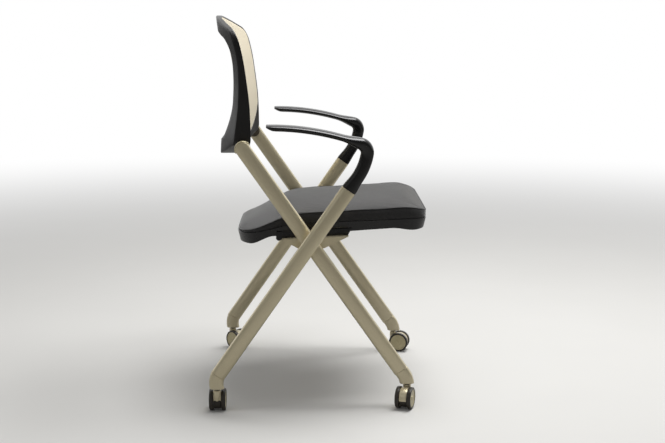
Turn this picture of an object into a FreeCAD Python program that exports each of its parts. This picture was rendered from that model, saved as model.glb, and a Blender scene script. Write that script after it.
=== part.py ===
"""Nesting chair: crossed oval-tube frame on twin-wheel casters, flip-up seat, mesh back.

+X is the front of the chair, +Y the sitter's left, +Z up. The origin is on the floor
at the middle of the footprint. All lengths are in millimetres.
"""

import FreeCAD
import Part
import math
import os

V = FreeCAD.Vector

# Leg tubes
tube_major = 34.0
tube_minor = 20.0
tube_wall = 2.0
leg_slope = 55.1
crossing_x = -20.0
crossing_z = 381.0
rear_leg_plane = 272.0
front_leg_plane = 236.0
rear_stem_x = -229.0
front_stem_x = 201.0
leg_seam_z = 85.0
arm_seam_z = 504.5
front_leg_end_z = 590.0
cap_rim = 1.8
cap_plug = 16.0
spigot_length = 36.0
spigot_fit = 0.3
spacer_half = 9.0
section_sides = 12

# Leg ends
leg_end_z = 54.5
leg_end_neck = 6.0
leg_end_major = 30.0
leg_end_minor = 22.0
leg_end_steps = 4
socket_depth = 25.0

# Cross beam, in the frame tilted with the seat
seat_tilt = 2.75
beam_rear = 62.0
beam_front = 88.0
beam_top = 7.9
beam_depth = 24.0
beam_foot_rear = 22.0
beam_foot_front = 32.0
beam_wall = 2.5
beam_plate = 2.5

# Seat hinge
hinge_u = -69.2
hinge_w = 8.5
rod_radius = 3.5
rod_fit = 0.06
eye_radius = 6.5
eye_gap = 0.5
lug_width = 13.0
lug_y = 174.0
knuckle_width = 17.0
knuckle_wall = 3.0
bumper_length = 40.0
bumper_width = 10.0
bumper_height = 3.0
bumper_inset = 18.0
bumper_y = 150.0

# Seat pan and its bearer
seat_rear_x = -184.0
seat_front_x = 247.0
seat_half_width = 211.0
seat_corner = 56.0
parting_level = 421.5
parting_slope = 0.04
parting_rear_drop = 22.0
parting_front_drop = 9.0
pan_level = 395.8
pan_slope = 0.068
pan_rear_drop = 12.5
pan_rear_start = -105.0
pan_rear_run = 60.0
pan_front_drop = 8.0
pan_front_start = 170.0
pan_front_run = 60.0
pan_inset = 4.0
pan_draft = 6.0
pan_wall = 3.0
rib_width = 2.5
rib_pitch_x = 110.0
rib_pitch_y = 112.0
bearer_rear = 75.0
bearer_front = 88.0
bearer_slant = 8.0
bearer_half = 205.0
bearer_gap = 0.4
screw_radius = 2.2
screw_head_radius = 4.5
screw_head_height = 2.6
screw_boss_radius = 6.0
screw_length = 17.0
screw_rear_u = -40.0
screw_front_u = 52.0
screw_y = 124.0

# Seat cushion
seam_level = 446.0
seam_slope = 0.055
seam_rear_drop = 38.0
seam_front_drop = 30.0
roll_start = -40.0
front_roll_start = 185.0
crown = 6.0
crown_rear = 10.0
crown_rear_start = -20.0
crown_rear_run = 80.0
side_draw = 4.0
side_bulge = 0.12
cushion_gap = 0.3

# Back frame and mesh
back_half_width = 205.0
back_top_z = 882.0
back_top_arch = 35.0
back_bottom_z = 560.0
back_bottom_arch = 38.0
back_top_corner = 24.0
back_bottom_corner = 10.0
front_wrap = 40.0
rear_wrap = 44.0
side_rail = 37.0
top_rail = 35.0
bottom_rail = 35.0
window_top_corner = 35.0
window_bottom_corner = 80.0
mesh_rim = 5.0
mesh_thickness = 2.5
mesh_gap = 0.2
mesh_bottom_margin = 17.0
mesh_bottom_corner = 62.0
back_heights = (550.0, 600.0, 690.0, 740.0, 790.0, 845.0, 895.0)
back_front_x = (-147.0, -148.0, -150.5, -156.0, -163.5, -177.0, -190.0)
back_depth = (42.0, 38.0, 25.0, 18.0, 14.0, 15.0, 17.0)

# Back brackets
tongue_depth = 12.0
tongue_height = 20.0
tongue_reach = 30.0
tongue_fit = 0.2
tongue_z = 608.0
tongue_x = -172.0
pad_below = 20.0
pad_above = 14.0
pad_half = 12.0
pad_gap = 0.3
back_screw_radius = 2.5
back_screw_head = 5.0
back_screw_seat = 4.0
back_screw_inset = 22.0

# Arms
arm_sleeve = 33.0
arm_bend_radius = 130.0
arm_bend_end = 80.0
arm_hook_radius = 21.0
arm_hook_end = 160.0
arm_blade_radius = 573.0
arm_blade_end = 181.0
arm_neck = 29.0
arm_thickness = 14.0
arm_width = 58.0
arm_tip_width = 38.0
arm_tip_run = 15.0
arm_tip_thickness = 4.0

# Casters
wheel_radius = 25.0
wheel_inner_y = 9.2
wheel_outer_y = 18.5
disc_radius = 21.0
caster_trail = 16.0
axle_radius = 2.5
axle_end = 16.0
axle_fit = 0.06
body_half_width = 8.5
fender_radius = 23.0
fender_start = -8.0
fender_end = 125.0
stem_radius = 5.0
stem_fit = 0.05
stem_top_gap = 0.3
stem_boss_radius = 9.5
stem_boss_top = 51.5
nose_half_top = 8.9
nose_half_bottom = 4.0
nose_low = 27.0
right_rear_turn = 90.0
right_front_turn = -109.0
left_front_turn = -15.0
left_rear_turn = -45.0

Y_AXIS = V(0, 1, 0)
Z_AXIS = V(0, 0, 1)
CROSSING = V(crossing_x, 0, crossing_z)


def mirrored(shape):
    """The same shape on the other side of the chair's middle plane."""
    return shape.mirror(V(0, 0, 0), Y_AXIS)


def both(shape):
    """The shape and its mirror image as two solids of one node."""
    return Part.makeCompound([shape, mirrored(shape)])


def polygon(points):
    """A closed wire through the points."""
    return Part.makePolygon(list(points) + [points[0]])


def prism_y(points, y0, y1):
    """A profile given as (x, z) pairs, extruded from y0 to y1."""
    wire = polygon([V(x, y0, z) for x, z in points])
    return Part.Face(wire).extrude(V(0, y1 - y0, 0))


def bar_y(radius, x, z, y0, y1):
    """A round bar along Y."""
    return Part.makeCylinder(radius, y1 - y0, V(x, y0, z), Y_AXIS)


def tilted(shape):
    """Turn a shape, drawn level at the crossing, to the slope of the seat."""
    turned = shape.copy()
    turned.rotate(CROSSING, Y_AXIS, -seat_tilt)
    return turned


def seat_prism(points, y0, y1):
    """A profile in (u, w), measured from the crossing in the tilted frame."""
    level = [(crossing_x + u, crossing_z + w) for u, w in points]
    return tilted(prism_y(level, y0, y1))


def seat_bar_y(radius, u, w, y0, y1):
    """A round bar along Y at (u, w) in the tilted frame."""
    return tilted(bar_y(radius, crossing_x + u, crossing_z + w, y0, y1))


def seat_bar_w(radius, u, y, w0, w1):
    """A round bar square to the seat, from w0 to w1 in the tilted frame."""
    foot = V(crossing_x + u, y, crossing_z + w0)
    return tilted(Part.makeCylinder(radius, w1 - w0, foot, Z_AXIS))


def seat_point(u, w):
    """Where (u, w) of the tilted frame lies, as a point in the middle plane."""
    turn = math.radians(seat_tilt)
    x = crossing_x + u * math.cos(turn) - w * math.sin(turn)
    z = crossing_z + u * math.sin(turn) + w * math.cos(turn)
    return V(x, 0, z)


def front_leg_point(z, y):
    """A point on the axis of a front leg, which rises to the rear."""
    run = (crossing_z - z) / math.tan(math.radians(leg_slope))
    return V(crossing_x + run, y, z)


def rear_leg_point(z, y):
    """A point on the axis of a rear leg, which rises to the front."""
    run = (crossing_z - z) / math.tan(math.radians(leg_slope))
    return V(crossing_x - run, y, z)


def front_leg_up():
    """The direction of a front leg, upwards."""
    slope = math.radians(leg_slope)
    return V(-math.cos(slope), 0, math.sin(slope))


def rear_leg_up():
    """The direction of a rear leg, upwards."""
    slope = math.radians(leg_slope)
    return V(math.cos(slope), 0, math.sin(slope))


def across(along):
    """The direction in the XZ plane square to the one given."""
    return V(along.z, 0, -along.x)


def oval_corner(half_major, half_minor):
    """Where the small and large arcs of an oval meet, in its first quadrant."""
    if half_major < half_minor:
        b, a = oval_corner(half_minor, half_major)
        return a, b
    small = (half_minor + half_minor**2 / half_major) / 2
    if half_minor - small < 0.01:
        return half_major * math.sqrt(0.5), half_minor * math.sqrt(0.5)
    reach = half_major - small
    large = (reach**2 + half_minor**2 - small**2) / (2 * (half_minor - small))
    share = small / (large - small)
    return reach * (1 + share), (large - half_minor) * share


def oval_wire(centre, along, half_major, half_minor):
    """An oval of four tangent arcs, square to a direction of the XZ plane.

    The first half size lies in the XZ plane and the second along Y.
    """
    side = across(along)
    a, b = oval_corner(half_major, half_minor)

    def at(p, q):
        return centre + side * p + V(0, q, 0)

    marks = [
        at(a, -b), at(half_major, 0), at(a, b),
        at(0, half_minor), at(-a, b),
        at(-half_major, 0), at(-a, -b),
        at(0, -half_minor), at(a, -b),
    ]
    arcs = [Part.Arc(*marks[i : i + 3]).toShape() for i in (0, 2, 4, 6)]
    return Part.Wire(arcs)


def facet_wire(centre, along, half_major, half_minor):
    """A many-sided oval square to a direction of the XZ plane, for tapering bends."""
    side = across(along)
    corners = []
    for i in range(section_sides):
        angle = 2 * math.pi * i / section_sides
        reach = side * (half_major * math.cos(angle))
        corners.append(centre + reach + V(0, half_minor * math.sin(angle), 0))
    return polygon(corners)


def oval_bar(start, end, half_major, half_minor):
    """A straight bar of oval section."""
    along = (end - start).normalize()
    face = Part.Face(oval_wire(start, along, half_major, half_minor))
    return face.extrude(end - start)


def oval_tube(start, end):
    """A straight length of the leg tube."""
    outer = oval_bar(start, end, tube_major / 2, tube_minor / 2)
    bore_major = tube_major / 2 - tube_wall
    bore_minor = tube_minor / 2 - tube_wall
    return outer.cut(oval_bar(start, end, bore_major, bore_minor))


def front_leg_solid(y):
    """The filled outline of a front leg with its rounded upper end."""
    low = front_leg_point(leg_seam_z, y)
    centre = front_leg_point(front_leg_end_z, y)
    radius = tube_major / 2
    bar = oval_bar(low, centre, radius, tube_minor / 2)
    tip = oval_bar(centre, centre + front_leg_up() * radius, radius, tube_minor / 2)
    tip = tip.common(bar_y(radius, centre.x, centre.z, y - tube_minor, y + tube_minor))
    return bar.fuse(tip)


def front_leg_tube(y):
    """Hollow front leg, bored through from the leg end to the rounded end."""
    low = front_leg_point(leg_seam_z, y)
    centre = front_leg_point(front_leg_end_z, y)
    high = centre + front_leg_up() * tube_major
    bore = oval_bar(low, high, tube_major / 2 - tube_wall, tube_minor / 2 - tube_wall)
    return front_leg_solid(y).cut(bore)


def rear_leg_solid(y):
    """The filled outline of a rear leg."""
    low = rear_leg_point(leg_seam_z, y)
    high = rear_leg_point(arm_seam_z, y)
    return oval_bar(low, high, tube_major / 2, tube_minor / 2)


def rear_leg_tube(y):
    """Hollow rear leg, from the leg end to the sleeve of the arm."""
    low = rear_leg_point(leg_seam_z, y)
    high = rear_leg_point(arm_seam_z, y)
    return oval_tube(low, high)


def leg_cap(y):
    """End cap: a rim over the rounded mouth of a front leg and a plug inside it."""
    centre = front_leg_point(front_leg_end_z, y)
    radius = tube_major / 2
    up = front_leg_up()
    depth = tube_minor
    rim = bar_y(radius + cap_rim, centre.x, centre.z, y - depth, y + depth)
    mouth = bar_y(radius, centre.x, centre.z, y - depth, y + depth)
    head = oval_bar(centre, centre + up * tube_major, radius, tube_minor / 2)
    head = head.common(rim).cut(mouth)
    plug_major = radius - tube_wall - spigot_fit
    plug_minor = tube_minor / 2 - tube_wall - spigot_fit
    plug = oval_bar(centre - up * cap_plug, centre + up * radius, plug_major, plug_minor)
    low = oval_bar(centre - up * tube_major, centre, radius, tube_minor / 2)
    plug = plug.common(low.fuse(rim))
    return head.fuse(plug).removeSplitter()


def leg_end_sections(seam, up, stem_x):
    """Centre and direction of the elbow's sections, fanned about one pivot.

    The pivot is where the plane of the seam meets the plane of the vertical foot.
    """
    slope = math.radians(leg_slope)
    inward = math.copysign(1, up.x)
    foot_z = leg_end_z + leg_end_neck
    seam_reach = (seam.z - foot_z) / math.cos(slope)
    pivot_x = seam.x + inward * seam_reach * math.sin(slope)
    foot_reach = abs(pivot_x - stem_x)
    sections = []
    for i in range(leg_end_steps + 1):
        t = i / leg_end_steps
        reach = seam_reach + (foot_reach - seam_reach) * smooth(t)
        turn = (math.pi / 2 - slope) * (1 - t)
        out = V(-inward * math.cos(turn), 0, math.sin(turn))
        along = V(inward * math.sin(turn), 0, math.cos(turn))
        sections.append((V(pivot_x, seam.y, foot_z) + out * reach, along, t))
    return sections


def leg_end(seam, up, stem_x):
    """Cast elbow from the slanted tube to the vertical caster stem."""
    y = seam.y
    wires = []
    for point, along, t in leg_end_sections(seam, up, stem_x):
        major = tube_major / 2 + (leg_end_major - tube_major) / 2 * t
        minor = tube_minor / 2 + (leg_end_minor - tube_minor) / 2 * t
        wires.append(facet_wire(point, along, major, minor))
    wires.append(facet_wire(V(stem_x, y, leg_end_z), Z_AXIS, major, minor))
    body = Part.makeLoft(wires, True, True)
    spigot_major = tube_major / 2 - tube_wall - spigot_fit
    spigot_minor = tube_minor / 2 - tube_wall - spigot_fit
    spigot = oval_bar(seam, seam + up * spigot_length, spigot_major, spigot_minor)
    socket = Part.makeCylinder(stem_radius + stem_fit, socket_depth, V(stem_x, y, leg_end_z))
    return body.fuse(spigot).cut(socket)


def beam_profile(inset):
    """Inverted trapezoid of the cross beam in (u, w), drawn in by a wall."""
    foot_w = beam_top - beam_depth
    rear = math.hypot(beam_rear - beam_foot_rear, beam_depth)
    front = math.hypot(beam_front - beam_foot_front, beam_depth)
    rear_top = inset * (rear + beam_rear - beam_foot_rear) / beam_depth
    front_top = inset * (front + beam_front - beam_foot_front) / beam_depth
    rear_foot = inset * (rear - beam_rear + beam_foot_rear) / beam_depth
    front_foot = inset * (front - beam_front + beam_foot_front) / beam_depth
    return [
        (-beam_rear + rear_top, beam_top - inset),
        (beam_front - front_top, beam_top - inset),
        (beam_foot_front - front_foot, foot_w + inset),
        (-beam_foot_rear + rear_foot, foot_w + inset),
    ]


def beam_end_y():
    """Where the beam meets the inner side of the front legs."""
    return front_leg_plane - tube_minor / 2 + 1.5


def cross_beam():
    """Hollow pressed beam under the seat, welded between the side frames."""
    end = beam_end_y() - beam_plate
    outer = seat_prism(beam_profile(0), -end, end)
    return outer.cut(seat_prism(beam_profile(beam_wall), -end, end))


def beam_plate_solid():
    """End plate that closes the beam and seats on the curve of a front leg."""
    end = beam_end_y()
    plate = seat_prism(beam_profile(0), end - beam_plate, end)
    return plate.cut(front_leg_solid(front_leg_plane))


def crossing_spacer():
    """Block welded between the front and rear leg where they cross."""
    start = front_leg_plane
    side = 2 * spacer_half
    corner = V(crossing_x - spacer_half, start, crossing_z - spacer_half)
    block = Part.makeBox(side, rear_leg_plane - start, side, corner)
    block = block.cut(front_leg_solid(front_leg_plane))
    return block.cut(rear_leg_solid(rear_leg_plane))


def hinge_lug():
    """Left hinge lug: an eye on a foot welded to the beam's rear face."""
    y0 = lug_y
    y1 = y0 + lug_width
    eye = seat_bar_y(eye_radius, hinge_u, hinge_w, y0, y1)
    low = hinge_w - eye_radius
    high = min(beam_top - 0.5, hinge_w)
    foot = [
        (hinge_u, low),
        (hinge_u, high),
        (-beam_rear, high),
        (-beam_foot_rear - 14, beam_top - beam_depth * 0.55),
        (-beam_foot_rear - 24, beam_top - beam_depth * 0.6),
    ]
    body = eye.fuse(seat_prism(foot, y0, y1))
    body = body.cut(seat_prism(beam_profile(0), -front_leg_plane, front_leg_plane))
    return body.cut(seat_bar_y(rod_radius, hinge_u, hinge_w, y0 - 1, y1 + 1))


def outer_knuckle_y():
    """Inner end of the outer knuckle, beside the lug."""
    return lug_y + lug_width + eye_gap


def inner_knuckle_y():
    """Outer end of the inner knuckle, beside the lug."""
    return lug_y - eye_gap


def pin_end_y():
    """The hinge pin stops at the closed end of the outer knuckle."""
    return outer_knuckle_y() + knuckle_width - knuckle_wall


def hinge_pin():
    """Steel pin, pressed in the left lug, on which the seat's knuckles turn."""
    start = inner_knuckle_y() - knuckle_width + knuckle_wall
    return seat_bar_y(rod_radius, hinge_u, hinge_w, start + 0.5, pin_end_y() - 0.5)


def bumper_box(grow, top):
    """The left seat stop near the front edge of the beam, grown all round."""
    u = beam_front - bumper_inset
    half = bumper_width / 2 + grow
    profile = [(u - half, beam_top), (u + half, beam_top), (u + half, top), (u - half, top)]
    return seat_prism(profile, bumper_y - grow, bumper_y + bumper_length + grow)


def rest_bumper():
    """Rubber stop on the beam, on which the lowered seat rests."""
    return bumper_box(0, beam_top + bumper_height)


def smooth(t):
    """A soft step from 0 to 1."""
    t = min(max(t, 0.0), 1.0)
    return t * t * (3 - 2 * t)


def front_roll(x):
    """Quarter-round fall towards the front edge of the seat, 0 to 1."""
    t = (x - front_roll_start) / (seat_front_x - front_roll_start)
    t = min(max(t, 0.0), 1.0)
    return 1 - math.sqrt(1 - t * t)


def rear_roll(x):
    """Soft fall towards the rear edge of the seat, 0 to 1."""
    return smooth((roll_start - x) / (roll_start - seat_rear_x))


def outline(x, inset):
    """Half width of the rounded seat outline at x, drawn in by an inset."""
    half = seat_half_width - inset
    radius = seat_corner - inset
    for d in (seat_front_x - inset - x, x - seat_rear_x - inset):
        gap = radius - min(max(d, 0.0), radius)
        half -= radius - math.sqrt(radius * radius - gap * gap)
    return half


def seam_z(x):
    """Height of the seam between the cushion's top and its side band."""
    level = seam_level + seam_slope * x
    return level - seam_rear_drop * rear_roll(x) - seam_front_drop * front_roll(x)


def parting_z(x):
    """Height of the line where the cushion meets the pan."""
    level = parting_level + parting_slope * x
    return level - parting_rear_drop * rear_roll(x) - parting_front_drop * front_roll(x)


def pan_z(x):
    """Height of the pan's lower edge."""
    level = pan_level + pan_slope * x
    level -= pan_rear_drop * smooth((pan_rear_start - x) / pan_rear_run)
    return level - pan_front_drop * smooth((x - pan_front_start) / pan_front_run)


def stations(inset):
    """Places along the seat where it is drawn, closer together at its ends."""
    radius = seat_corner - inset
    rear = seat_rear_x + inset
    front = seat_front_x - inset
    near = [0.0, 0.08 * radius, 0.35 * radius, radius]
    middle = [roll_start, front_roll_start - 20]
    places = [rear + d for d in near] + middle + [front - d for d in reversed(near)]
    return places


def cushion_wire(x):
    """Cross section of the cushion: flat below, bowed sides, crowned top."""
    low = parting_z(x) + cushion_gap
    high = seam_z(x)
    wide = outline(x, 0)
    bow = side_bulge * (high - low)
    foot = wide - side_draw
    seam = wide - side_draw
    rise = crown + crown_rear * smooth((crown_rear_start - x) / crown_rear_run)
    a = V(x, -foot, low)
    b = V(x, foot, low)
    c = V(x, seam, high)
    d = V(x, -seam, high)
    mid = (low + high) / 2
    base = Part.LineSegment(a, b).toShape()
    left = Part.Arc(b, V(x, foot + bow, mid), c).toShape()
    top = Part.Arc(c, V(x, 0, high + rise), d).toShape()
    right = Part.Arc(d, V(x, -foot - bow, mid), a).toShape()
    return Part.Wire([base, left, top, right])


def seat_cushion():
    """Upholstered pad with a crown, drawn-in sides and rolled front and rear."""
    return Part.makeLoft([cushion_wire(x) for x in stations(0)], True, True)


def pan_wire(x, inset, low, high):
    """Cross section of the pan, its sides drawn in towards the bottom."""
    wide = outline(x, inset)
    foot = wide - pan_draft
    corners = [V(x, -foot, low), V(x, foot, low), V(x, wide, high), V(x, -wide, high)]
    return polygon(corners)


def pan_solid():
    """The pan's outer form, filled."""
    wires = []
    for x in stations(pan_inset):
        wires.append(pan_wire(x, pan_inset, pan_z(x), parting_z(x)))
    return Part.makeLoft(wires, True, True)


def pan_cavity(reach):
    """The open underside of the pan, reaching past or short of its lower edge."""
    inset = pan_inset + pan_wall
    wires = []
    for x in stations(inset):
        wires.append(pan_wire(x, inset, pan_z(x) - reach, parting_z(x) - pan_wall))
    return Part.makeLoft(wires, True, True)


def pan_ribs():
    """Crossed stiffening ribs under the pan."""
    low = pan_level - 60
    high = parting_level + 40
    length = seat_front_x - seat_rear_x
    ribs = []
    count = int(seat_half_width / rib_pitch_y)
    for i in range(-count, count + 1):
        y = i * rib_pitch_y - rib_width / 2
        ribs.append(Part.makeBox(length, rib_width, high - low, V(seat_rear_x, y, low)))
    count = int(length / rib_pitch_x)
    first = (seat_rear_x + seat_front_x - (count - 1) * rib_pitch_x) / 2
    for i in range(count):
        x = first + i * rib_pitch_x - rib_width / 2
        corner = V(x, -seat_half_width, low)
        ribs.append(Part.makeBox(rib_width, 2 * seat_half_width, high - low, corner))
    grid = ribs[0].fuse(ribs[1:])
    return grid.common(pan_cavity(-1.5))


def screw_places():
    """Screws that hold the bearer to the pan, as (u, y)."""
    return [(u, y) for u in (screw_rear_u, screw_front_u) for y in (-screw_y, screw_y)]


def bearer_bottom():
    """The bearer hangs just clear of the beam."""
    return beam_top + bearer_gap


def screw_head_top():
    """Height of the top of the screw heads, sunk in the bearer."""
    return bearer_bottom() + 0.3 + screw_head_height


def pan_bosses():
    """Round bosses under the pan for the bearer's screws."""
    top = screw_head_top() + screw_length + 8
    posts = [seat_bar_w(screw_boss_radius, u, y, 0, top) for u, y in screw_places()]
    return posts[0].fuse(posts[1:]).common(pan_cavity(0))


def seat_screw(u, y):
    """Countersunk screw from the bearer's underside up into a boss."""
    head_top = screw_head_top()
    foot = V(crossing_x + u, y, crossing_z + bearer_bottom() + 0.3)
    head = tilted(Part.makeCone(screw_head_radius, screw_radius, screw_head_height, foot))
    shank = seat_bar_w(screw_radius, u, y, head_top, head_top + screw_length)
    return head.fuse(shank)


def seat_screws():
    """The four screws of the bearer."""
    return Part.makeCompound([seat_screw(u, y) for u, y in screw_places()])


def seat_pan():
    """Moulded pan: a skin with a rim, crossed ribs and screw bosses."""
    shell = pan_solid().cut(pan_cavity(3))
    shell = shell.fuse([pan_ribs(), pan_bosses()]).removeSplitter()
    for u, y in screw_places():
        top = screw_head_top() + screw_length
        shell = shell.cut(seat_bar_w(screw_radius, u, y, 0, top))
    for tool in knuckle_pair() + [lug_slot()]:
        shell = shell.cut([tool, mirrored(tool)])
    return shell


def knuckle_pair():
    """Left barrels of the seat's half of the hinge, either side of the lug."""
    y0 = inner_knuckle_y()
    y1 = outer_knuckle_y()
    inner = seat_bar_y(eye_radius, hinge_u, hinge_w, y0 - knuckle_width, y0)
    outer = seat_bar_y(eye_radius, hinge_u, hinge_w, y1, y1 + knuckle_width)
    return [inner, outer]


def lug_slot():
    """Room for the left lug's eye between its two knuckles."""
    low = lug_y - eye_gap
    high = lug_y + lug_width + eye_gap
    return seat_bar_y(eye_radius + eye_gap, hinge_u, hinge_w, low, high)


def hinge_clearance():
    """What the left lug, pin and stop take out of the bearer."""
    start = inner_knuckle_y() - knuckle_width + knuckle_wall
    bore = seat_bar_y(rod_radius + rod_fit, hinge_u, hinge_w, start, pin_end_y())
    return [bore, lug_slot(), bumper_box(1, beam_top + bumper_height)]


def seat_bearer():
    """Moulded block under the pan that rests on the beam and carries the hinge."""
    low = bearer_bottom()
    high = low + 14
    profile = [
        (-bearer_rear, low),
        (bearer_front, low),
        (bearer_front + bearer_slant, high),
        (-bearer_rear, high),
    ]
    block = seat_prism(profile, -bearer_half, bearer_half).cut(pan_solid())
    barrels = knuckle_pair()
    block = block.fuse(barrels + [mirrored(one) for one in barrels])
    for tool in hinge_clearance():
        block = block.cut([tool, mirrored(tool)])
    for u, y in screw_places():
        block = block.cut(seat_bar_w(screw_head_radius, u, y, 0, bearer_bottom() + 0.3))
        block = block.cut(seat_screw(u, y))
    return block.removeSplitter()


def back_wire(z, front_x, depth, half, rear_extra):
    """Level section of the back: a concave front, a wrapped rear and flat sides."""
    rear_x = front_x - depth
    a = V(front_x, -half, z)
    b = V(front_x, half, z)
    c = V(rear_x, half, z)
    d = V(rear_x, -half, z)
    front = Part.Arc(a, V(front_x - front_wrap, 0, z), b).toShape()
    left = Part.LineSegment(b, c).toShape()
    rear = Part.Arc(c, V(rear_x - front_wrap - rear_extra, 0, z), d).toShape()
    right = Part.LineSegment(d, a).toShape()
    return Part.Wire([front, left, rear, right])


def back_plate(shift, depths, rear_extra):
    """The curved body of the back, its front face moved forward by shift."""
    half = back_half_width + 5
    wires = []
    for z, x, depth in zip(back_heights, back_front_x, depths):
        wires.append(back_wire(z, x + shift, depth, half, rear_extra))
    return Part.makeLoft(wires, True, True)


def arched_prism(half, top, top_arch, bottom, bottom_arch, top_corner, bottom_corner):
    """An outline seen from the front, arched above and below, extruded along X."""
    x = min(back_front_x) - 120
    length = 240
    a = V(x, -half, bottom + bottom_arch)
    b = V(x, half, bottom + bottom_arch)
    c = V(x, half, top - top_arch)
    d = V(x, -half, top - top_arch)
    low = Part.Arc(a, V(x, 0, bottom), b).toShape()
    left = Part.LineSegment(b, c).toShape()
    high = Part.Arc(c, V(x, 0, top), d).toShape()
    right = Part.LineSegment(d, a).toShape()
    solid = Part.Face(Part.Wire([low, left, high, right])).extrude(V(length, 0, 0))
    lower = []
    upper = []
    for edge in solid.Edges:
        first, last = edge.Vertexes[0].Point, edge.Vertexes[-1].Point
        if abs(last.x - first.x) < length / 2:
            continue
        if first.z > (top + bottom) / 2:
            upper.append(edge)
        else:
            lower.append(edge)
    solid = solid.makeFillet(top_corner, upper)
    lower = []
    for edge in solid.Edges:
        first, last = edge.Vertexes[0].Point, edge.Vertexes[-1].Point
        along = abs(last.x - first.x) > length / 2
        sharp = abs(abs(first.y) - half) < 0.01 and first.z < bottom + bottom_arch + 0.01
        if along and sharp:
            lower.append(edge)
    return solid.makeFillet(bottom_corner, lower)


def arch_at(arch, half, inset):
    """Height of an arch after its half width is drawn in by an inset."""
    return arch * ((half - inset) / half) ** 2


def window_prism():
    """The opening of the back frame."""
    half = back_half_width - side_rail
    top_arch = arch_at(back_top_arch, back_half_width, side_rail)
    bottom_arch = arch_at(back_bottom_arch, back_half_width, side_rail)
    top = back_top_z - top_rail
    bottom = back_bottom_z + bottom_rail
    corner = window_top_corner
    return arched_prism(half, top, top_arch, bottom, bottom_arch, corner, window_bottom_corner)


def mesh_prism(gap):
    """The outline of the mesh, drawn in from its recess by a gap."""
    inset = mesh_rim + gap
    half = back_half_width - inset
    top_arch = arch_at(back_top_arch, back_half_width, inset)
    bottom_arch = arch_at(back_bottom_arch, back_half_width, inset)
    top = back_top_z - inset
    bottom = back_bottom_z + mesh_bottom_margin + gap
    corner = back_top_corner - inset
    return arched_prism(half, top, top_arch, bottom, bottom_arch, corner, mesh_bottom_corner)


def bracket_block(grow):
    """The tongue of a back bracket, grown all round for its pocket."""
    half_depth = tongue_depth / 2 + grow
    half_height = tongue_height / 2 + grow
    points = [
        (tongue_x - half_depth, tongue_z - half_height),
        (tongue_x + half_depth, tongue_z - half_height),
        (tongue_x + half_depth, tongue_z + half_height),
        (tongue_x - half_depth, tongue_z + half_height),
    ]
    inner = back_half_width - tongue_reach - grow
    return prism_y(points, inner, back_half_width + 4)


def back_screw_place():
    """Each bracket is held by a screw from the rear at this Y."""
    return back_half_width - back_screw_inset


def back_screw_hole(radius, x0, x1):
    """A round bar along X at the place of a bracket screw."""
    y = back_screw_place()
    return Part.makeCylinder(radius, x1 - x0, V(x0, y, tongue_z), V(1, 0, 0))


def back_rear_x():
    """Rear face of the frame at the height and place of the bracket screws."""
    at = tongue_z
    for i in range(len(back_heights) - 1):
        if back_heights[i] <= at <= back_heights[i + 1]:
            t = (at - back_heights[i]) / (back_heights[i + 1] - back_heights[i])
            x = back_front_x[i] + t * (back_front_x[i + 1] - back_front_x[i])
            depth = back_depth[i] + t * (back_depth[i + 1] - back_depth[i])
    share = 1 - (back_screw_place() / (back_half_width + 5)) ** 2
    return x - depth - rear_wrap * share


def back_bracket():
    """Bracket between a front leg's end and the back: a pad and a tongue."""
    centre = front_leg_point(front_leg_end_z, 0)
    up = front_leg_up()
    side = across(up) * pad_half
    low = centre - up * pad_below
    high = centre + up * pad_above
    pad = [(v.x, v.z) for v in (low - side, low + side, high + side, high - side)]
    boss = prism_y(pad, back_half_width + pad_gap, front_leg_plane)
    boss = boss.fuse(bracket_block(0))
    boss = boss.cut(front_leg_solid(front_leg_plane))
    boss = boss.cut(leg_cap(front_leg_plane))
    hole = back_screw_hole(back_screw_radius, tongue_x - tongue_depth, tongue_x + tongue_depth)
    return boss.cut(hole).removeSplitter()


def back_screw():
    """Screw from the rear of the frame into the tongue, its head sunk."""
    seat = back_rear_x() + back_screw_seat
    head = back_screw_hole(back_screw_head, seat - 3, seat)
    shank = back_screw_hole(back_screw_radius, seat, tongue_x + tongue_depth / 2)
    return head.fuse(shank).removeSplitter()


def back_frame():
    """Moulded ring frame: wrapped sides, arched rails and a recess for the mesh."""
    body = back_plate(0, back_depth, rear_wrap - front_wrap)
    outer = arched_prism(
        back_half_width,
        back_top_z,
        back_top_arch,
        back_bottom_z,
        back_bottom_arch,
        back_top_corner,
        back_bottom_corner,
    )
    body = body.common(outer).cut(window_prism())
    deep = [8 + mesh_thickness + mesh_gap] * len(back_heights)
    recess = back_plate(8, deep, 0).common(mesh_prism(0))
    body = body.cut(recess)
    seat = back_rear_x() + back_screw_seat
    for tool in (
        bracket_block(tongue_fit),
        back_screw_hole(back_screw_head + 0.3, seat - 40, seat),
        back_screw_hole(back_screw_radius, seat - 1, tongue_x),
    ):
        body = body.cut(tool)
        body = body.cut(mirrored(tool))
    return body.removeSplitter()


def back_mesh():
    """Stretched mesh panel seated in the front recess of the frame."""
    thin = [mesh_thickness] * len(back_heights)
    return back_plate(0, thin, 0).common(mesh_prism(mesh_gap))


def arm_path(s):
    """Point and heading on the centre line of an arm at a distance s from its seam."""
    start = rear_leg_point(arm_seam_z, 0)
    heading = leg_slope
    turn = math.radians(heading)
    if s <= arm_sleeve:
        return start + V(math.cos(turn), 0, math.sin(turn)) * s, heading
    point = start + V(math.cos(turn), 0, math.sin(turn)) * arm_sleeve
    left = s - arm_sleeve
    for radius, end in arm_arcs():
        span = math.radians(end - heading) * radius
        part = min(left, span)
        swing = math.degrees(part / radius)
        chord = 2 * radius * math.sin(math.radians(swing / 2))
        middle = math.radians(heading + swing / 2)
        point = point + V(math.cos(middle), 0, math.sin(middle)) * chord
        heading += swing
        left -= part
        if left <= 0:
            break
    return point, heading


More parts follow.
